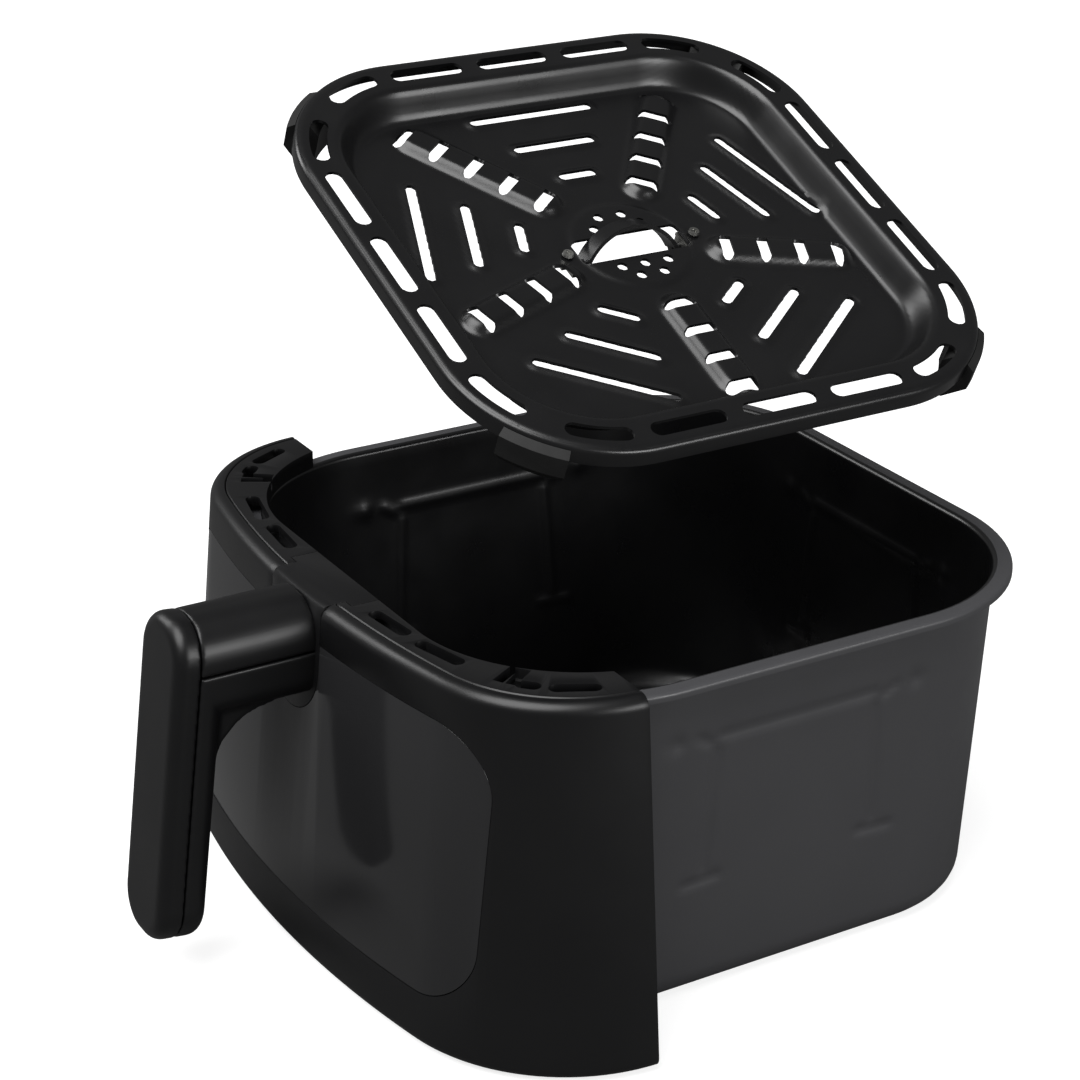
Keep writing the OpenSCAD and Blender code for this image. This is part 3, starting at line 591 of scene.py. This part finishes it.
def trim(name, node, side):
    section = [(LIP + 0.7, TOP), (LIP + 0.3, TOP - 0.4), (LIP + 0.3, 128), (LIP + 2.3, 128),
               (LIP + 2.3, PLATE_Z), (LIP + 40, PLATE_Z), (LIP + 40, TOP)]
    rows = [at_height(panel_line(-inset), z) for inset, z in section]
    half = new_piece(name, *skin(rows, ring_closed=False, row_closed=True), satin_abs)
    combine(half, prism("tool", round_square(TRIM_IN, TRIM_IN_R, 30), 100, 150), "DIFFERENCE")
    skirt = prism("skirt", round_square(TRIM_IN + 2, TRIM_IN_R + 2, 30), PAN_H + 0.1, TOP - 1)
    combine(skirt, prism("tool", round_square(TRIM_IN + 0.001, TRIM_IN_R, 30), 100, 150),
            "DIFFERENCE")
    inner_edge = panel_line(-LIP - 1.5)
    combine(skirt, prism("tool", inner_edge, 100, 150), "INTERSECT")
    combine(half, skirt, "UNION")
    for outline in vents(side):
        combine(half, prism("vent", outline, PLATE_Z - 1, 150), "DIFFERENCE")
    gap = SEAT_HALF + 0.3
    combine(half, block("tool", (-gap, -150, 100), (gap, -100, 150)), "DIFFERENCE")
    combine(half, block("tool", (-gap - 4.5, SEAT_STEP - 0.3, 100),
                        (gap + 4.5, -90, 150)), "DIFFERENCE")
    keep = (-1, 300) if side < 0 else (-300, 1)
    combine(half, block("tool", (keep[0], -200, 90), (keep[1], 0, 160)), "DIFFERENCE")
    ease(half, 0.4, 50)
    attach(half, "drawer")
    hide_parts(node)
    return half


trim("vented_trim_left", "trim_left", -1)
trim("vented_trim_right", "trim_right", 1)

# %% [markdown]
# ## The handle's seat
#
# The handle grows out of a tongue that is let into the panel. Its face follows the
# panel's curve, its bottom is a half circle that shows as a crescent under the arm, and
# a plate on top runs back between the two trims.

# %% The seat
seat = sweep("seat_of_handle", [(0.0, 80), (0.0, TOP - 3), (1.0, TOP - 0.6), (2.5, TOP),
                                (5, TOP), (5, 80)])
combine(seat, through_front(seat_outline(0)), "INTERSECT")
top_plate = prism("top plate", panel_line(-2.5), PLATE_Z, TOP)
wide = block("wide", (-24, SEAT_STEP, 100), (24, -90, 160))
combine(wide, block("narrow", (-SEAT_HALF, -160, 100), (SEAT_HALF, SEAT_STEP + 1, 160)), "UNION")
combine(top_plate, wide, "INTERSECT")
combine(top_plate, prism("tool", round_square(TRIM_IN, TRIM_IN_R, 30), 100, 160), "DIFFERENCE")
combine(seat, top_plate, "UNION")
ease(seat, 0.5, 40)
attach(seat, "drawer")
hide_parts("handle_seat")

# %% [markdown]
# ## The handle
#
# The handle is an L in three mouldings: a cap on the arm, a body that is the lower half
# of the arm and the back of the grip, and a cover on the front of the grip. Injection
# moulded grips have no sharp edge anywhere. A voxel remesh turns joined solids into one
# even skin, and smoothing that skin rounds every edge alike, as a polished mould does.

# %% The arm's outline and the grip's slabs
def arm_outline():
    low = TOP - ARM_H
    r, small = GRIP_W / 2 - 2, 8
    return np.concatenate([
        arc(GRIP_W / 2 - r, TOP - r, r, 0, 90, 14), arc(r - GRIP_W / 2, TOP - r, r, 90, 180, 14),
        arc(small - GRIP_W / 2, low + small, small, 180, 270, 8),
        arc(GRIP_W / 2 - small, low + small, small, 270, 360, 8)])


def lean(points):
    """From the grip's own frame, y = 0 its front and z = 0 its top, to the whole frame."""
    turn = np.array(Matrix.Rotation(-LEAN, 3, "X"))
    return np.asarray(points) @ turn.T + np.array([0, -GRIP_Y, TOP])


def grip_ring(depth, inset):
    outline = rounded_box(GRIP_W - 2 * inset, GRIP_L - 2 * inset, GRIP_W / 2 - 2 - inset,
                          COVER_T * math.tan(LEAN) - GRIP_L / 2, 14)
    return lean(np.column_stack([outline[:, 0], np.full(len(outline), depth), outline[:, 1]]))


def grip_slab(name, front, back, front_r, back_r):
    rings = []
    for a in np.radians(np.linspace(0, 90, 8)):
        rings.append(grip_ring(front + front_r * (1 - math.cos(a)), front_r * (1 - math.sin(a))))
    for a in np.radians(np.linspace(90, 0, 8)):
        rings.append(grip_ring(back - back_r * (1 - math.cos(a)), back_r * (1 - math.sin(a))))
    return new_piece(name, *skin(rings), satin_abs)


def behind_cover(name):
    """A big block that fills everything in front of the plane where the cover starts."""
    y = COVER_T + 0.3
    corners = [(x, yy, z) for z in (-220, 60) for x, yy in
               ((-40, y - 80), (40, y - 80), (40, y), (-40, y))]
    rings = [lean(corners[:4]), lean(corners[4:])]
    return new_piece(name, *skin(rings), satin_abs)


def arm(name):
    piece = prism(name, arm_outline(), -GRIP_Y - 30, -REACH + 10, "y")
    front = prism("panel tool", panel_line(0.3), 60, 170)
    combine(piece, front, "DIFFERENCE")
    combine(piece, behind_cover("tool"), "DIFFERENCE")
    return piece


# %% The cap on the arm
cap = arm("cap_of_arm")
combine(cap, block("tool", (-40, -260, 0), (40, 0, SPLIT + 0.1)), "DIFFERENCE")
mould(cap, 0.7, 5)

# %% The body: the lower arm, the back of the grip and the bend between them
body = arm("body_of_handle")
combine(body, grip_slab("back of grip", COVER_T + 0.3, GRIP_T, 0.2, 5), "UNION")
low = TOP - ARM_H
bend_back = GRIP_T - GRIP_Y - (ARM_H + BEND_R) * math.tan(LEAN)
bend = block("bend", (-GRIP_W / 2 + 3, bend_back - 4, low - BEND_R),
             (GRIP_W / 2 - 3, bend_back + BEND_R - 0.5, low + 4))
hollow = [(p[0], p[1]) for p in arc(bend_back + BEND_R - 0.5, low - BEND_R + 0.5, BEND_R, 0, 360,
                                    64)[:-1]]
rings = [[(x, p[0], p[1]) for p in hollow] for x in (-40, 40)]
combine(bend, new_piece("tool", *skin(rings), satin_abs), "DIFFERENCE")
combine(body, bend, "UNION")
combine(body, block("tool", (-40, -260, SPLIT - 0.4), (40, 0, 200)), "DIFFERENCE")
mould(body, 0.7, 6)

# %% The cover on the front of the grip
cover = grip_slab("cover_of_grip", 0, COVER_T, 5, 0.3)
mould(cover, 0.7, 2)

for piece, node in ((cap, "arm_cap"), (body, "handle_body"), (cover, "grip_cover")):
    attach(piece, "drawer")
    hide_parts(node)
    print(piece.name, len(piece.data.polygons))

# %% [markdown]
# ## The crisper plate
#
# The plate is one pressed sheet: a slotted flange, a shallow tray, five raised ribs and
# rows of slots. A pressed sheet is a height over a plan, so the plate is drawn as a fine
# grid. One function says how far each point is from the nearest hole or edge, and the
# grid is trimmed along the line where that distance is nought, which gives clean slots.
# Another function gives the height. Solidify then turns the sheet into 1.2 mm steel.

# %% Distances to slots, with numpy
SEAT_Z = 21.3
PLATE = wall_half(SEAT_Z) - SHEET - 4.0
PLATE_R, FLANGE, TRAY, STEP, PLATE_T = 56.0, 17.0, 11.0, 5.5, 1.2
LIFT, TILT = 235.7, math.radians(23.5)
PIVOT = -TRAY - PLATE_T - 3.4
GROW = PLATE / 107


def round_square_distance(x, y, half, r):
    """Distance from a square with round corners, negative inside."""
    qx, qy = np.abs(x) - half + r, np.abs(y) - half + r
    return np.hypot(np.maximum(qx, 0), np.maximum(qy, 0)) + np.minimum(np.maximum(qx, qy), 0) - r


def slot_distance(x, y, cx, cy, turn, length, width):
    """Distance from a slot with round ends that lies along the direction turn."""
    a = math.radians(turn)
    u = (x - cx) * math.cos(a) + (y - cy) * math.sin(a)
    v = -(x - cx) * math.sin(a) + (y - cy) * math.cos(a)
    return np.hypot(np.maximum(np.abs(u) - (length - width) / 2, 0), v) - width / 2


def plate_holes(x, y):
    """Distance to the nearest hole, negative inside one."""
    holes = []
    row, pitch = PLATE - FLANGE / 2, PLATE * 0.342
    for q in range(4):
        a = 90 * q
        c, s = math.cos(math.radians(a)), math.sin(math.radians(a))
        for i in (-1, 0, 1):
            px, py = i * pitch, -row
            holes.append(slot_distance(x, y, px * c - py * s, px * s + py * c, a, 30, 6.6))
    ax, ay = np.abs(x) - PLATE + PLATE_R, np.abs(y) - PLATE + PLATE_R
    r = PLATE_R - FLANGE / 2
    turn = np.degrees(np.arctan2(ay, ax))
    for a0, a1 in ((12, 33), (57, 78)):
        near = np.radians(np.clip(turn, a0, a1))
        holes.append(np.hypot(ax - r * np.cos(near), ay - r * np.sin(near)) - 3.3)
    for k in range(5):
        a = 72 * k + 36
        for reach, length in ((41, 16), (59.3, 35), (78, 53)):
            reach, length = reach * GROW, length * GROW
            holes.append(slot_distance(x, y, reach * math.cos(math.radians(a)),
                                       reach * math.sin(math.radians(a)), a + 90, length, 4))
        a = 72 * k
        for i in range(5 if k in (2, 3) else 4):
            reach = (35.6 + 14.5 * i) * GROW
            holes.append(slot_distance(x, y, reach * math.cos(math.radians(a)),
                                       reach * math.sin(math.radians(a)), a + 90, 14, 4.6))
    holes.append(round_square_distance(x, np.sign(y) * np.maximum(np.abs(y) - 16.5, 0),
                                       6.5, 2))
    for side in (-1, 1):
        for px, py in ((10.7, -9.8), (10.7, 0), (10.7, 9.8), (16.4, -4.9), (16.4, 4.9)):
            holes.append(np.hypot(x - side * px, y - py) - 2.1)
    return np.min(holes, 0)


# %% Height of the pressed sheet
def ease_step(t):
    t = np.clip(t, 0, 1)
    return t * t * (3 - 2 * t)


def plate_height(x, y):
    inside = -round_square_distance(x, y, PLATE, PLATE_R)
    z = -TRAY * ease_step((inside - FLANGE + 1.5) / (STEP + 3))
    z -= 1.4 * (1 - ease_step(inside / 2.2))
    rib_ends = (83, 86, 97, 97, 86)
    for k in range(5):
        a = math.radians(72 * k)
        u = x * math.cos(a) + y * math.sin(a)
        v = -x * math.sin(a) + y * math.cos(a)
        centre, length = (28 + rib_ends[k]) / 2 * GROW, (rib_ends[k] - 28) * GROW
        away = np.hypot(np.maximum(np.abs(u - centre) - length / 2 + 8, 0), v) - 8
        rise = 3.2 * ease_step(-away / 4.5 + 0.15)
        z = np.where(inside > FLANGE + STEP - 1, np.maximum(z, -TRAY + rise), z)
        a = 72 * k + 36
        for reach, length in ((41, 16), (59.3, 35), (78, 53)):
            reach, length = reach * GROW, length * GROW
            d = slot_distance(x, y, reach * math.cos(math.radians(a)),
                              reach * math.sin(math.radians(a)), a + 90, length + 5, 9)
            z = z + 0.9 * ease_step(-d / 1.8)
    hub = np.hypot(x, y) - 24
    return z + 0.8 * ease_step(-hub / 2.0)


# %% Trimming the grid along the line of no distance
def trimmed_grid(distance, step_mm, half):
    """Quads of a square grid where distance is positive, cut along distance nought."""
    count = int(2 * half / step_mm) + 2
    line = np.linspace(-half, half, count)
    gx, gy = np.meshgrid(line, line, indexing="ij")
    d = distance(gx, gy)
    small = np.abs(d) < 0.04 * step_mm
    d = np.where(small, 0.04 * step_mm * np.where(d < 0, -1, 1), d)
    index, points, faces = {}, [], []

    def corner(i, j):
        if (i, j) not in index:
            index[i, j] = len(points)
            points.append((line[i], line[j]))
        return index[i, j]

    def cut(i, j, k, l):
        key = ("cut",) + ((i, j, k, l) if (i, j) < (k, l) else (k, l, i, j))
        if key not in index:
            _, a, b, c, e = key
            t = d[a, b] / (d[a, b] - d[c, e])
            index[key] = len(points)
            points.append((line[a] + t * (line[c] - line[a]), line[b] + t * (line[e] - line[b])))
        return index[key]

    keep = d > 0
    for i in range(count - 1):
        for j in range(count - 1):
            ring = ((i, j), (i + 1, j), (i + 1, j + 1), (i, j + 1))
            inside = [keep[p] for p in ring]
            if all(inside):
                faces.append(tuple(corner(*p) for p in ring))
                continue
            if not any(inside):
                continue
            if inside in ([True, False, True, False], [False, True, False, True]):
                for n in range(4):
                    if inside[n]:
                        faces.append((cut(*ring[n - 1], *ring[n]), corner(*ring[n]),
                                      cut(*ring[n], *ring[(n + 1) % 4])))
                continue
            face = []
            for n in range(4):
                p, q = ring[n], ring[(n + 1) % 4]
                if keep[p]:
                    face.append(corner(*p))
                if keep[p] != keep[q]:
                    face.append(cut(*p, *q))
            faces.append(tuple(face))
    return np.array(points), faces


def kept(x, y):
    return np.minimum(plate_holes(x, y), -round_square_distance(x, y, PLATE - 0.6, PLATE_R - 0.6))


# %% The plate at its raised place
def lifted(points):
    """From the plate's own frame to its place above the pan."""
    turn = np.array(Matrix.Rotation(TILT, 3, "Y"))
    points = np.asarray(points, float) - np.array([0, 0, PIVOT])
    return points @ turn.T + np.array([0, 0, SEAT_Z + LIFT + PIVOT])


plan, faces = trimmed_grid(kept, 1.3, PLATE + 1)
height = plate_height(plan[:, 0], plan[:, 1])
plate = new_piece("pressed_plate", lifted(np.column_stack([plan, height])), faces,
                  inner_coating, 50)
up = sum(f.normal.z * f.area for f in plate.data.polygons)
thick = plate.modifiers.new("sheet", "SOLIDIFY")
thick.thickness, thick.offset = PLATE_T * MM, (-1 if up > 0 else 1)
bpy.context.view_layer.update()
settle(plate)
plate_edge = [(1.9, -0.35), (1.2, -0.5), (0.55, -0.95), (0.15, -1.6), (0, -2.4), (0, -7.0),
              (PLATE_T, -7.0), (PLATE_T, -2.4), (1.5, -2.0), (1.9, -1.7)]
rings = [lifted(at_height(round_square(PLATE - i, PLATE_R - i, 32), z)) for i, z in plate_edge]
skirt = new_piece("skirt", *skin(rings, row_closed=True), inner_coating)
both = bmesh.new()
both.from_mesh(plate.data)
both.from_mesh(skirt.data)
both.to_mesh(plate.data)
both.free()
bpy.data.objects.remove(skirt)
soften(plate, 50)
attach(plate, "plate")
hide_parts("crisper_plate")
print("plate faces", len(plate.data.polygons))

# %% [markdown]
# ## Screws, nuts and rivets
#
# Fasteners repeat, so Geometry Nodes make them. The tree takes points that each carry a
# direction, builds one pan-head screw with a cross recess, and puts a copy on each point.
# The copies are made real at the end, because an export keeps only real faces. The same
# tree serves every screw; its named inputs give the sizes.

# %% A tree of nodes that sets a screw on each point
def screw_tree():
    tree = bpy.data.node_groups.new("screws on points", "GeometryNodeTree")
    face = tree.interface
    face.new_socket("Geometry", in_out="INPUT", socket_type="NodeSocketGeometry")
    for name, value in (("Head radius", 0.0028), ("Head height", 0.002),
                        ("Shank radius", 0.0015), ("Shank length", 0.009)):
        made = face.new_socket(name, in_out="INPUT", socket_type="NodeSocketFloat")
        made.default_value = value
    made = face.new_socket("Sides", in_out="INPUT", socket_type="NodeSocketInt")
    made.default_value = 28
    face.new_socket("Material", in_out="INPUT", socket_type="NodeSocketMaterial")
    face.new_socket("Geometry", in_out="OUTPUT", socket_type="NodeSocketGeometry")
    given = add(tree, "NodeGroupInput")
    size = given.outputs

    def times(a, b):
        return add(tree, "ShaderNodeMath", {"operation": "MULTIPLY"}, {0: a, 1: b}).outputs[0]

    def up(z):
        return add(tree, "ShaderNodeCombineXYZ", inputs={"Z": z}).outputs[0]

    def moved(geometry, where):
        return add(tree, "GeometryNodeTransform",
                   inputs={"Geometry": geometry, "Translation": where}).outputs[0]

    head = add(tree, "GeometryNodeMeshCone",
               inputs={"Vertices": size["Sides"], "Radius Top": times(size["Head radius"], 0.86),
                       "Radius Bottom": size["Head radius"], "Depth": size["Head height"]})
    bar = add(tree, "GeometryNodeMeshCube")
    long_side, short_side = times(size["Head radius"], 1.15), times(size["Head radius"], 0.24)
    box = add(tree, "ShaderNodeCombineXYZ",
              inputs={"X": long_side, "Y": short_side, "Z": size["Head height"]})
    tree.links.new(box.outputs[0], bar.inputs["Size"])
    quarter_turn = add(tree, "GeometryNodeTransform",
                       inputs={"Geometry": bar.outputs[0], "Rotation": (0, 0, math.pi / 2)})
    recess = add(tree, "GeometryNodeMeshBoolean", {"operation": "UNION"})
    tree.links.new(bar.outputs[0], recess.inputs["Mesh 2"])
    tree.links.new(quarter_turn.outputs[0], recess.inputs["Mesh 2"])
    cut = add(tree, "GeometryNodeMeshBoolean", {"operation": "DIFFERENCE"})
    tree.links.new(head.outputs[0], cut.inputs["Mesh 1"])
    lifted_recess = moved(recess.outputs[0], up(times(size["Head height"], 1.1)))
    tree.links.new(lifted_recess, cut.inputs["Mesh 2"])
    shank = add(tree, "GeometryNodeMeshCylinder",
                inputs={"Vertices": 20, "Radius": size["Shank radius"],
                        "Depth": size["Shank length"]})
    lowered = moved(shank.outputs[0], up(times(size["Shank length"], -0.5)))
    screw = add(tree, "GeometryNodeJoinGeometry")
    tree.links.new(cut.outputs[0], screw.inputs[0])
    tree.links.new(lowered, screw.inputs[0])
    direction = add(tree, "GeometryNodeInputNamedAttribute", {"data_type": "FLOAT_VECTOR"},
                    {"Name": "direction"})
    turn = add(tree, "FunctionNodeAlignRotationToVector", {"axis": "Z"},
               {"Vector": direction.outputs[0]})
    copies = add(tree, "GeometryNodeInstanceOnPoints",
                 inputs={"Points": size["Geometry"], "Instance": screw.outputs[0],
                         "Rotation": turn.outputs[0]})
    real = add(tree, "GeometryNodeRealizeInstances", inputs={"Geometry": copies.outputs[0]})
    painted = add(tree, "GeometryNodeSetMaterial",
                  inputs={"Geometry": real.outputs[0], "Material": size["Material"]})
    out = add(tree, "NodeGroupOutput")
    tree.links.new(painted.outputs[0], out.inputs[0])
    return tree


SCREWS = screw_tree()


def screws(name, node, places, direction, sizes_mm, body="drawer",
           material=None, sides=28):
    """places are in millimetres, on the underside of each head."""
    mesh = bpy.data.meshes.new(name)
    mesh.from_pydata((np.asarray(places, float) * MM).tolist(), [], [])
    which_way = mesh.attributes.new("direction", "FLOAT_VECTOR", "POINT")
    which_way.data.foreach_set("vector", list(direction) * len(places))
    piece = bpy.data.objects.new(name, mesh)
    bpy.context.collection.objects.link(piece)
    modifier = piece.modifiers.new("screws", "NODES")
    modifier.node_group = SCREWS
    sockets = {s.name: s.identifier for s in SCREWS.interface.items_tree
               if s.in_out == "INPUT"}
    for socket, value in zip(("Head radius", "Head height", "Shank radius", "Shank length"),
                             sizes_mm):
        modifier[sockets[socket]] = value * MM
    modifier[sockets["Sides"]] = sides
    modifier[sockets["Material"]] = material or zinc_steel
    bpy.context.view_layer.update()
    settle(piece)
    soften(piece, 30)
    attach(piece, body)
    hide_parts(node)
    print(name, len(piece.data.polygons))
    return piece


# %% Setting the screws, nuts and rivets
screw_x = [PANEL_HALF + flare(z) - SHELL - 3.9 for z in (24, 100)]
screws("screws_of_cover", "cover_screws",
       [(s * x, BACK - 2.9, z) for s in (-1, 1) for x, z in zip(screw_x, (24, 100))],
       (0, 1, 0), (2.8, 2.0, 1.5, 9))
trim_x = PANEL_HALF - LIP - 6
screws("screws_of_trim", "trim_screws",
       [(s * trim_x, BACK - 11, 114.9) for s in (-1, 1)], (0, 0, -1), (2.8, 2.0, 1.5, 12))
wall_turn = Matrix.Rotation(math.radians(3), 3, "X")
wall_place = Vector((0, -wall_half(SIGHT_Z), SIGHT_Z))
stud_face = 1.5 + 4 + 0.2 + 1.5 + 0.1
studs = [tuple(wall_place + wall_turn @ Vector((x, -stud_face, z)))
         for z in (38, -38) for x in (-48, 0, 48)]
screws("nuts_of_sight_frame", "sight_studs", studs, tuple(wall_turn @ Vector((0, -1, 0))),
       (2.8, 2.2, 1.5, 7.2), sides=6)
screws("screws_of_bracket", "bracket_screws",
       [(x, -126.1, 110.85) for x in (-13, 13)], (0, -1, 0), (4.5, 2.8, 2.5, 8))
grip_way = lean([(0, 1, 0), (0, 0, 0)])
grip_way = tuple(grip_way[0] - grip_way[1])
screws("screws_of_grip", "grip_screws",
       [tuple(lean([(0, GRIP_T - 3.9, z)])[0]) for z in (-60, -106)], grip_way,
       (2.8, 2.0, 1.5, 11))
screws("screw_of_cap", "cap_screw", [(0, -151.5, 111.9)], (0, 0, -1), (2.8, 2.0, 1.5, 17))
rivet_way = np.array(Matrix.Rotation(TILT, 3, "Y")) @ np.array([0, 0, 1.0])
screws("rivets_of_eyes", "eye_rivets",
       [tuple(lifted([(0, s * 27, -TRAY + 0.9)])[0]) for s in (-1, 1)], tuple(rivet_way),
       (2.2, 0.9, 1.15, 4.2), body="plate", sides=24)

# %% [markdown]
# ## The CAD's own pieces
#
# The rest keep their CAD shape, because it is already right, and get a real finish.

# %% Finishes for the pieces that stay as the CAD made them
finishes = {
    "sight_glass": tempered_glass, "sight_seal": silicone, "sight_frame": zinc_steel,
    "pan_bracket": zinc_steel, "handle_bracket": zinc_steel, "window_gasket": silicone,
    "inner_cover": satin_abs, "strap_eyes": zinc_steel, "lift_strap": inner_coating,
    "bumper_front_left": silicone, "bumper_front_right": silicone,
    "bumper_back_left": silicone, "bumper_back_right": silicone,
}
for node, material in finishes.items():
    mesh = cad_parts[node].data
    mesh.materials.clear()
    mesh.materials.append(material)
print("dressed", len(finishes), "CAD pieces")

# %% [markdown]
# ## Floor, light and camera
#
# A black satin object shows only what it reflects, so the room is white to the camera
# and nearly dark to everything else, as a studio's black flags make it. Two soft boxes,
# high on the left and low on the right, draw the highlights. A long lens keeps the
# drawer's lines nearly parallel.

# %% The floor
floor = bpy.data.objects.new("floor", bpy.data.meshes.new("floor"))
floor.data.from_pydata([(-9, -9, 0), (9, -9, 0), (9, 9, 0), (-9, 9, 0)], [], [(0, 1, 2, 3)])
bpy.context.collection.objects.link(floor)
def camera_only(tree, socket, seen, otherwise):
    """Gives a socket one value for the camera and another for all other rays."""
    rays = add(tree, "ShaderNodeLightPath")
    span = add(tree, "ShaderNodeMapRange", inputs={"Value": rays.outputs["Is Camera Ray"],
                                                   "To Min": otherwise, "To Max": seen})
    tree.links.new(span.outputs[0], socket)


pale, tree, shader = finish_of("pale paper", "#f6f6f6", 0.9)
camera_only(tree, shader.inputs["Base Color"], 0.4, 0.10)
camera_only(tree, shader.inputs["Emission Strength"], 0.78, 0.0)
shader.inputs["Emission Color"].default_value = linear("#ffffff")
floor.data.materials.append(pale)

# %% The light
bpy.context.scene.view_settings.view_transform = "Standard"
world = bpy.data.worlds.new("pale room")
bpy.context.scene.world = world
world.use_nodes = True
background = world.node_tree.nodes["Background"]
background.inputs["Color"].default_value = linear("#ffffff")
camera_only(world.node_tree, background.inputs["Strength"], 1.0, 0.14)


def soft_box(name, place, target, size, power):
    light = bpy.data.lights.new(name, "AREA")
    light.shape, light.size, light.size_y, light.energy = "RECTANGLE", size[0], size[1], power
    box = bpy.data.objects.new(name, light)
    box.location = place
    way = Vector(target) - Vector(place)
    box.rotation_euler = way.to_track_quat("-Z", "Y").to_euler()
    bpy.context.collection.objects.link(box)


sun = bpy.data.lights.new("overhead", "SUN")
sun.energy, sun.angle = 3.8, math.radians(50)
overhead = bpy.data.objects.new("overhead", sun)
overhead.rotation_euler = (math.radians(27), math.radians(6), 0)
bpy.context.collection.objects.link(overhead)
soft_box("left box", (-1.3, -0.9, 1.1), (0, 0, 0.1), (0.5, 1.0), 10)
soft_box("right box", (1.6, 0.5, 0.7), (0, 0, 0.1), (0.9, 0.6), 16)

# %% The camera
AZIMUTH, ELEVATION, ROLL = math.radians(59.2), math.radians(23.8), math.radians(0.35)
ahead = Vector((-math.sin(AZIMUTH) * math.cos(ELEVATION),
                math.cos(AZIMUTH) * math.cos(ELEVATION), -math.sin(ELEVATION)))
right = Vector((math.cos(AZIMUTH), math.sin(AZIMUTH), 0))
above = right.cross(ahead)
across = math.cos(ROLL) * right + math.sin(ROLL) * above
upright = -math.sin(ROLL) * right + math.cos(ROLL) * above
lens = bpy.data.cameras.new("camera")
lens.lens, lens.sensor_width, lens.clip_end = 90, 36, 30
camera = bpy.data.objects.new("camera", lens)
camera.matrix_world = Matrix((
    (across.x, upright.x, -ahead.x, 0.7923), (across.y, upright.y, -ahead.y, -0.5089),
    (across.z, upright.z, -ahead.z, 0.5429), (0, 0, 0, 1)))
bpy.context.collection.objects.link(camera)
bpy.context.scene.camera = camera
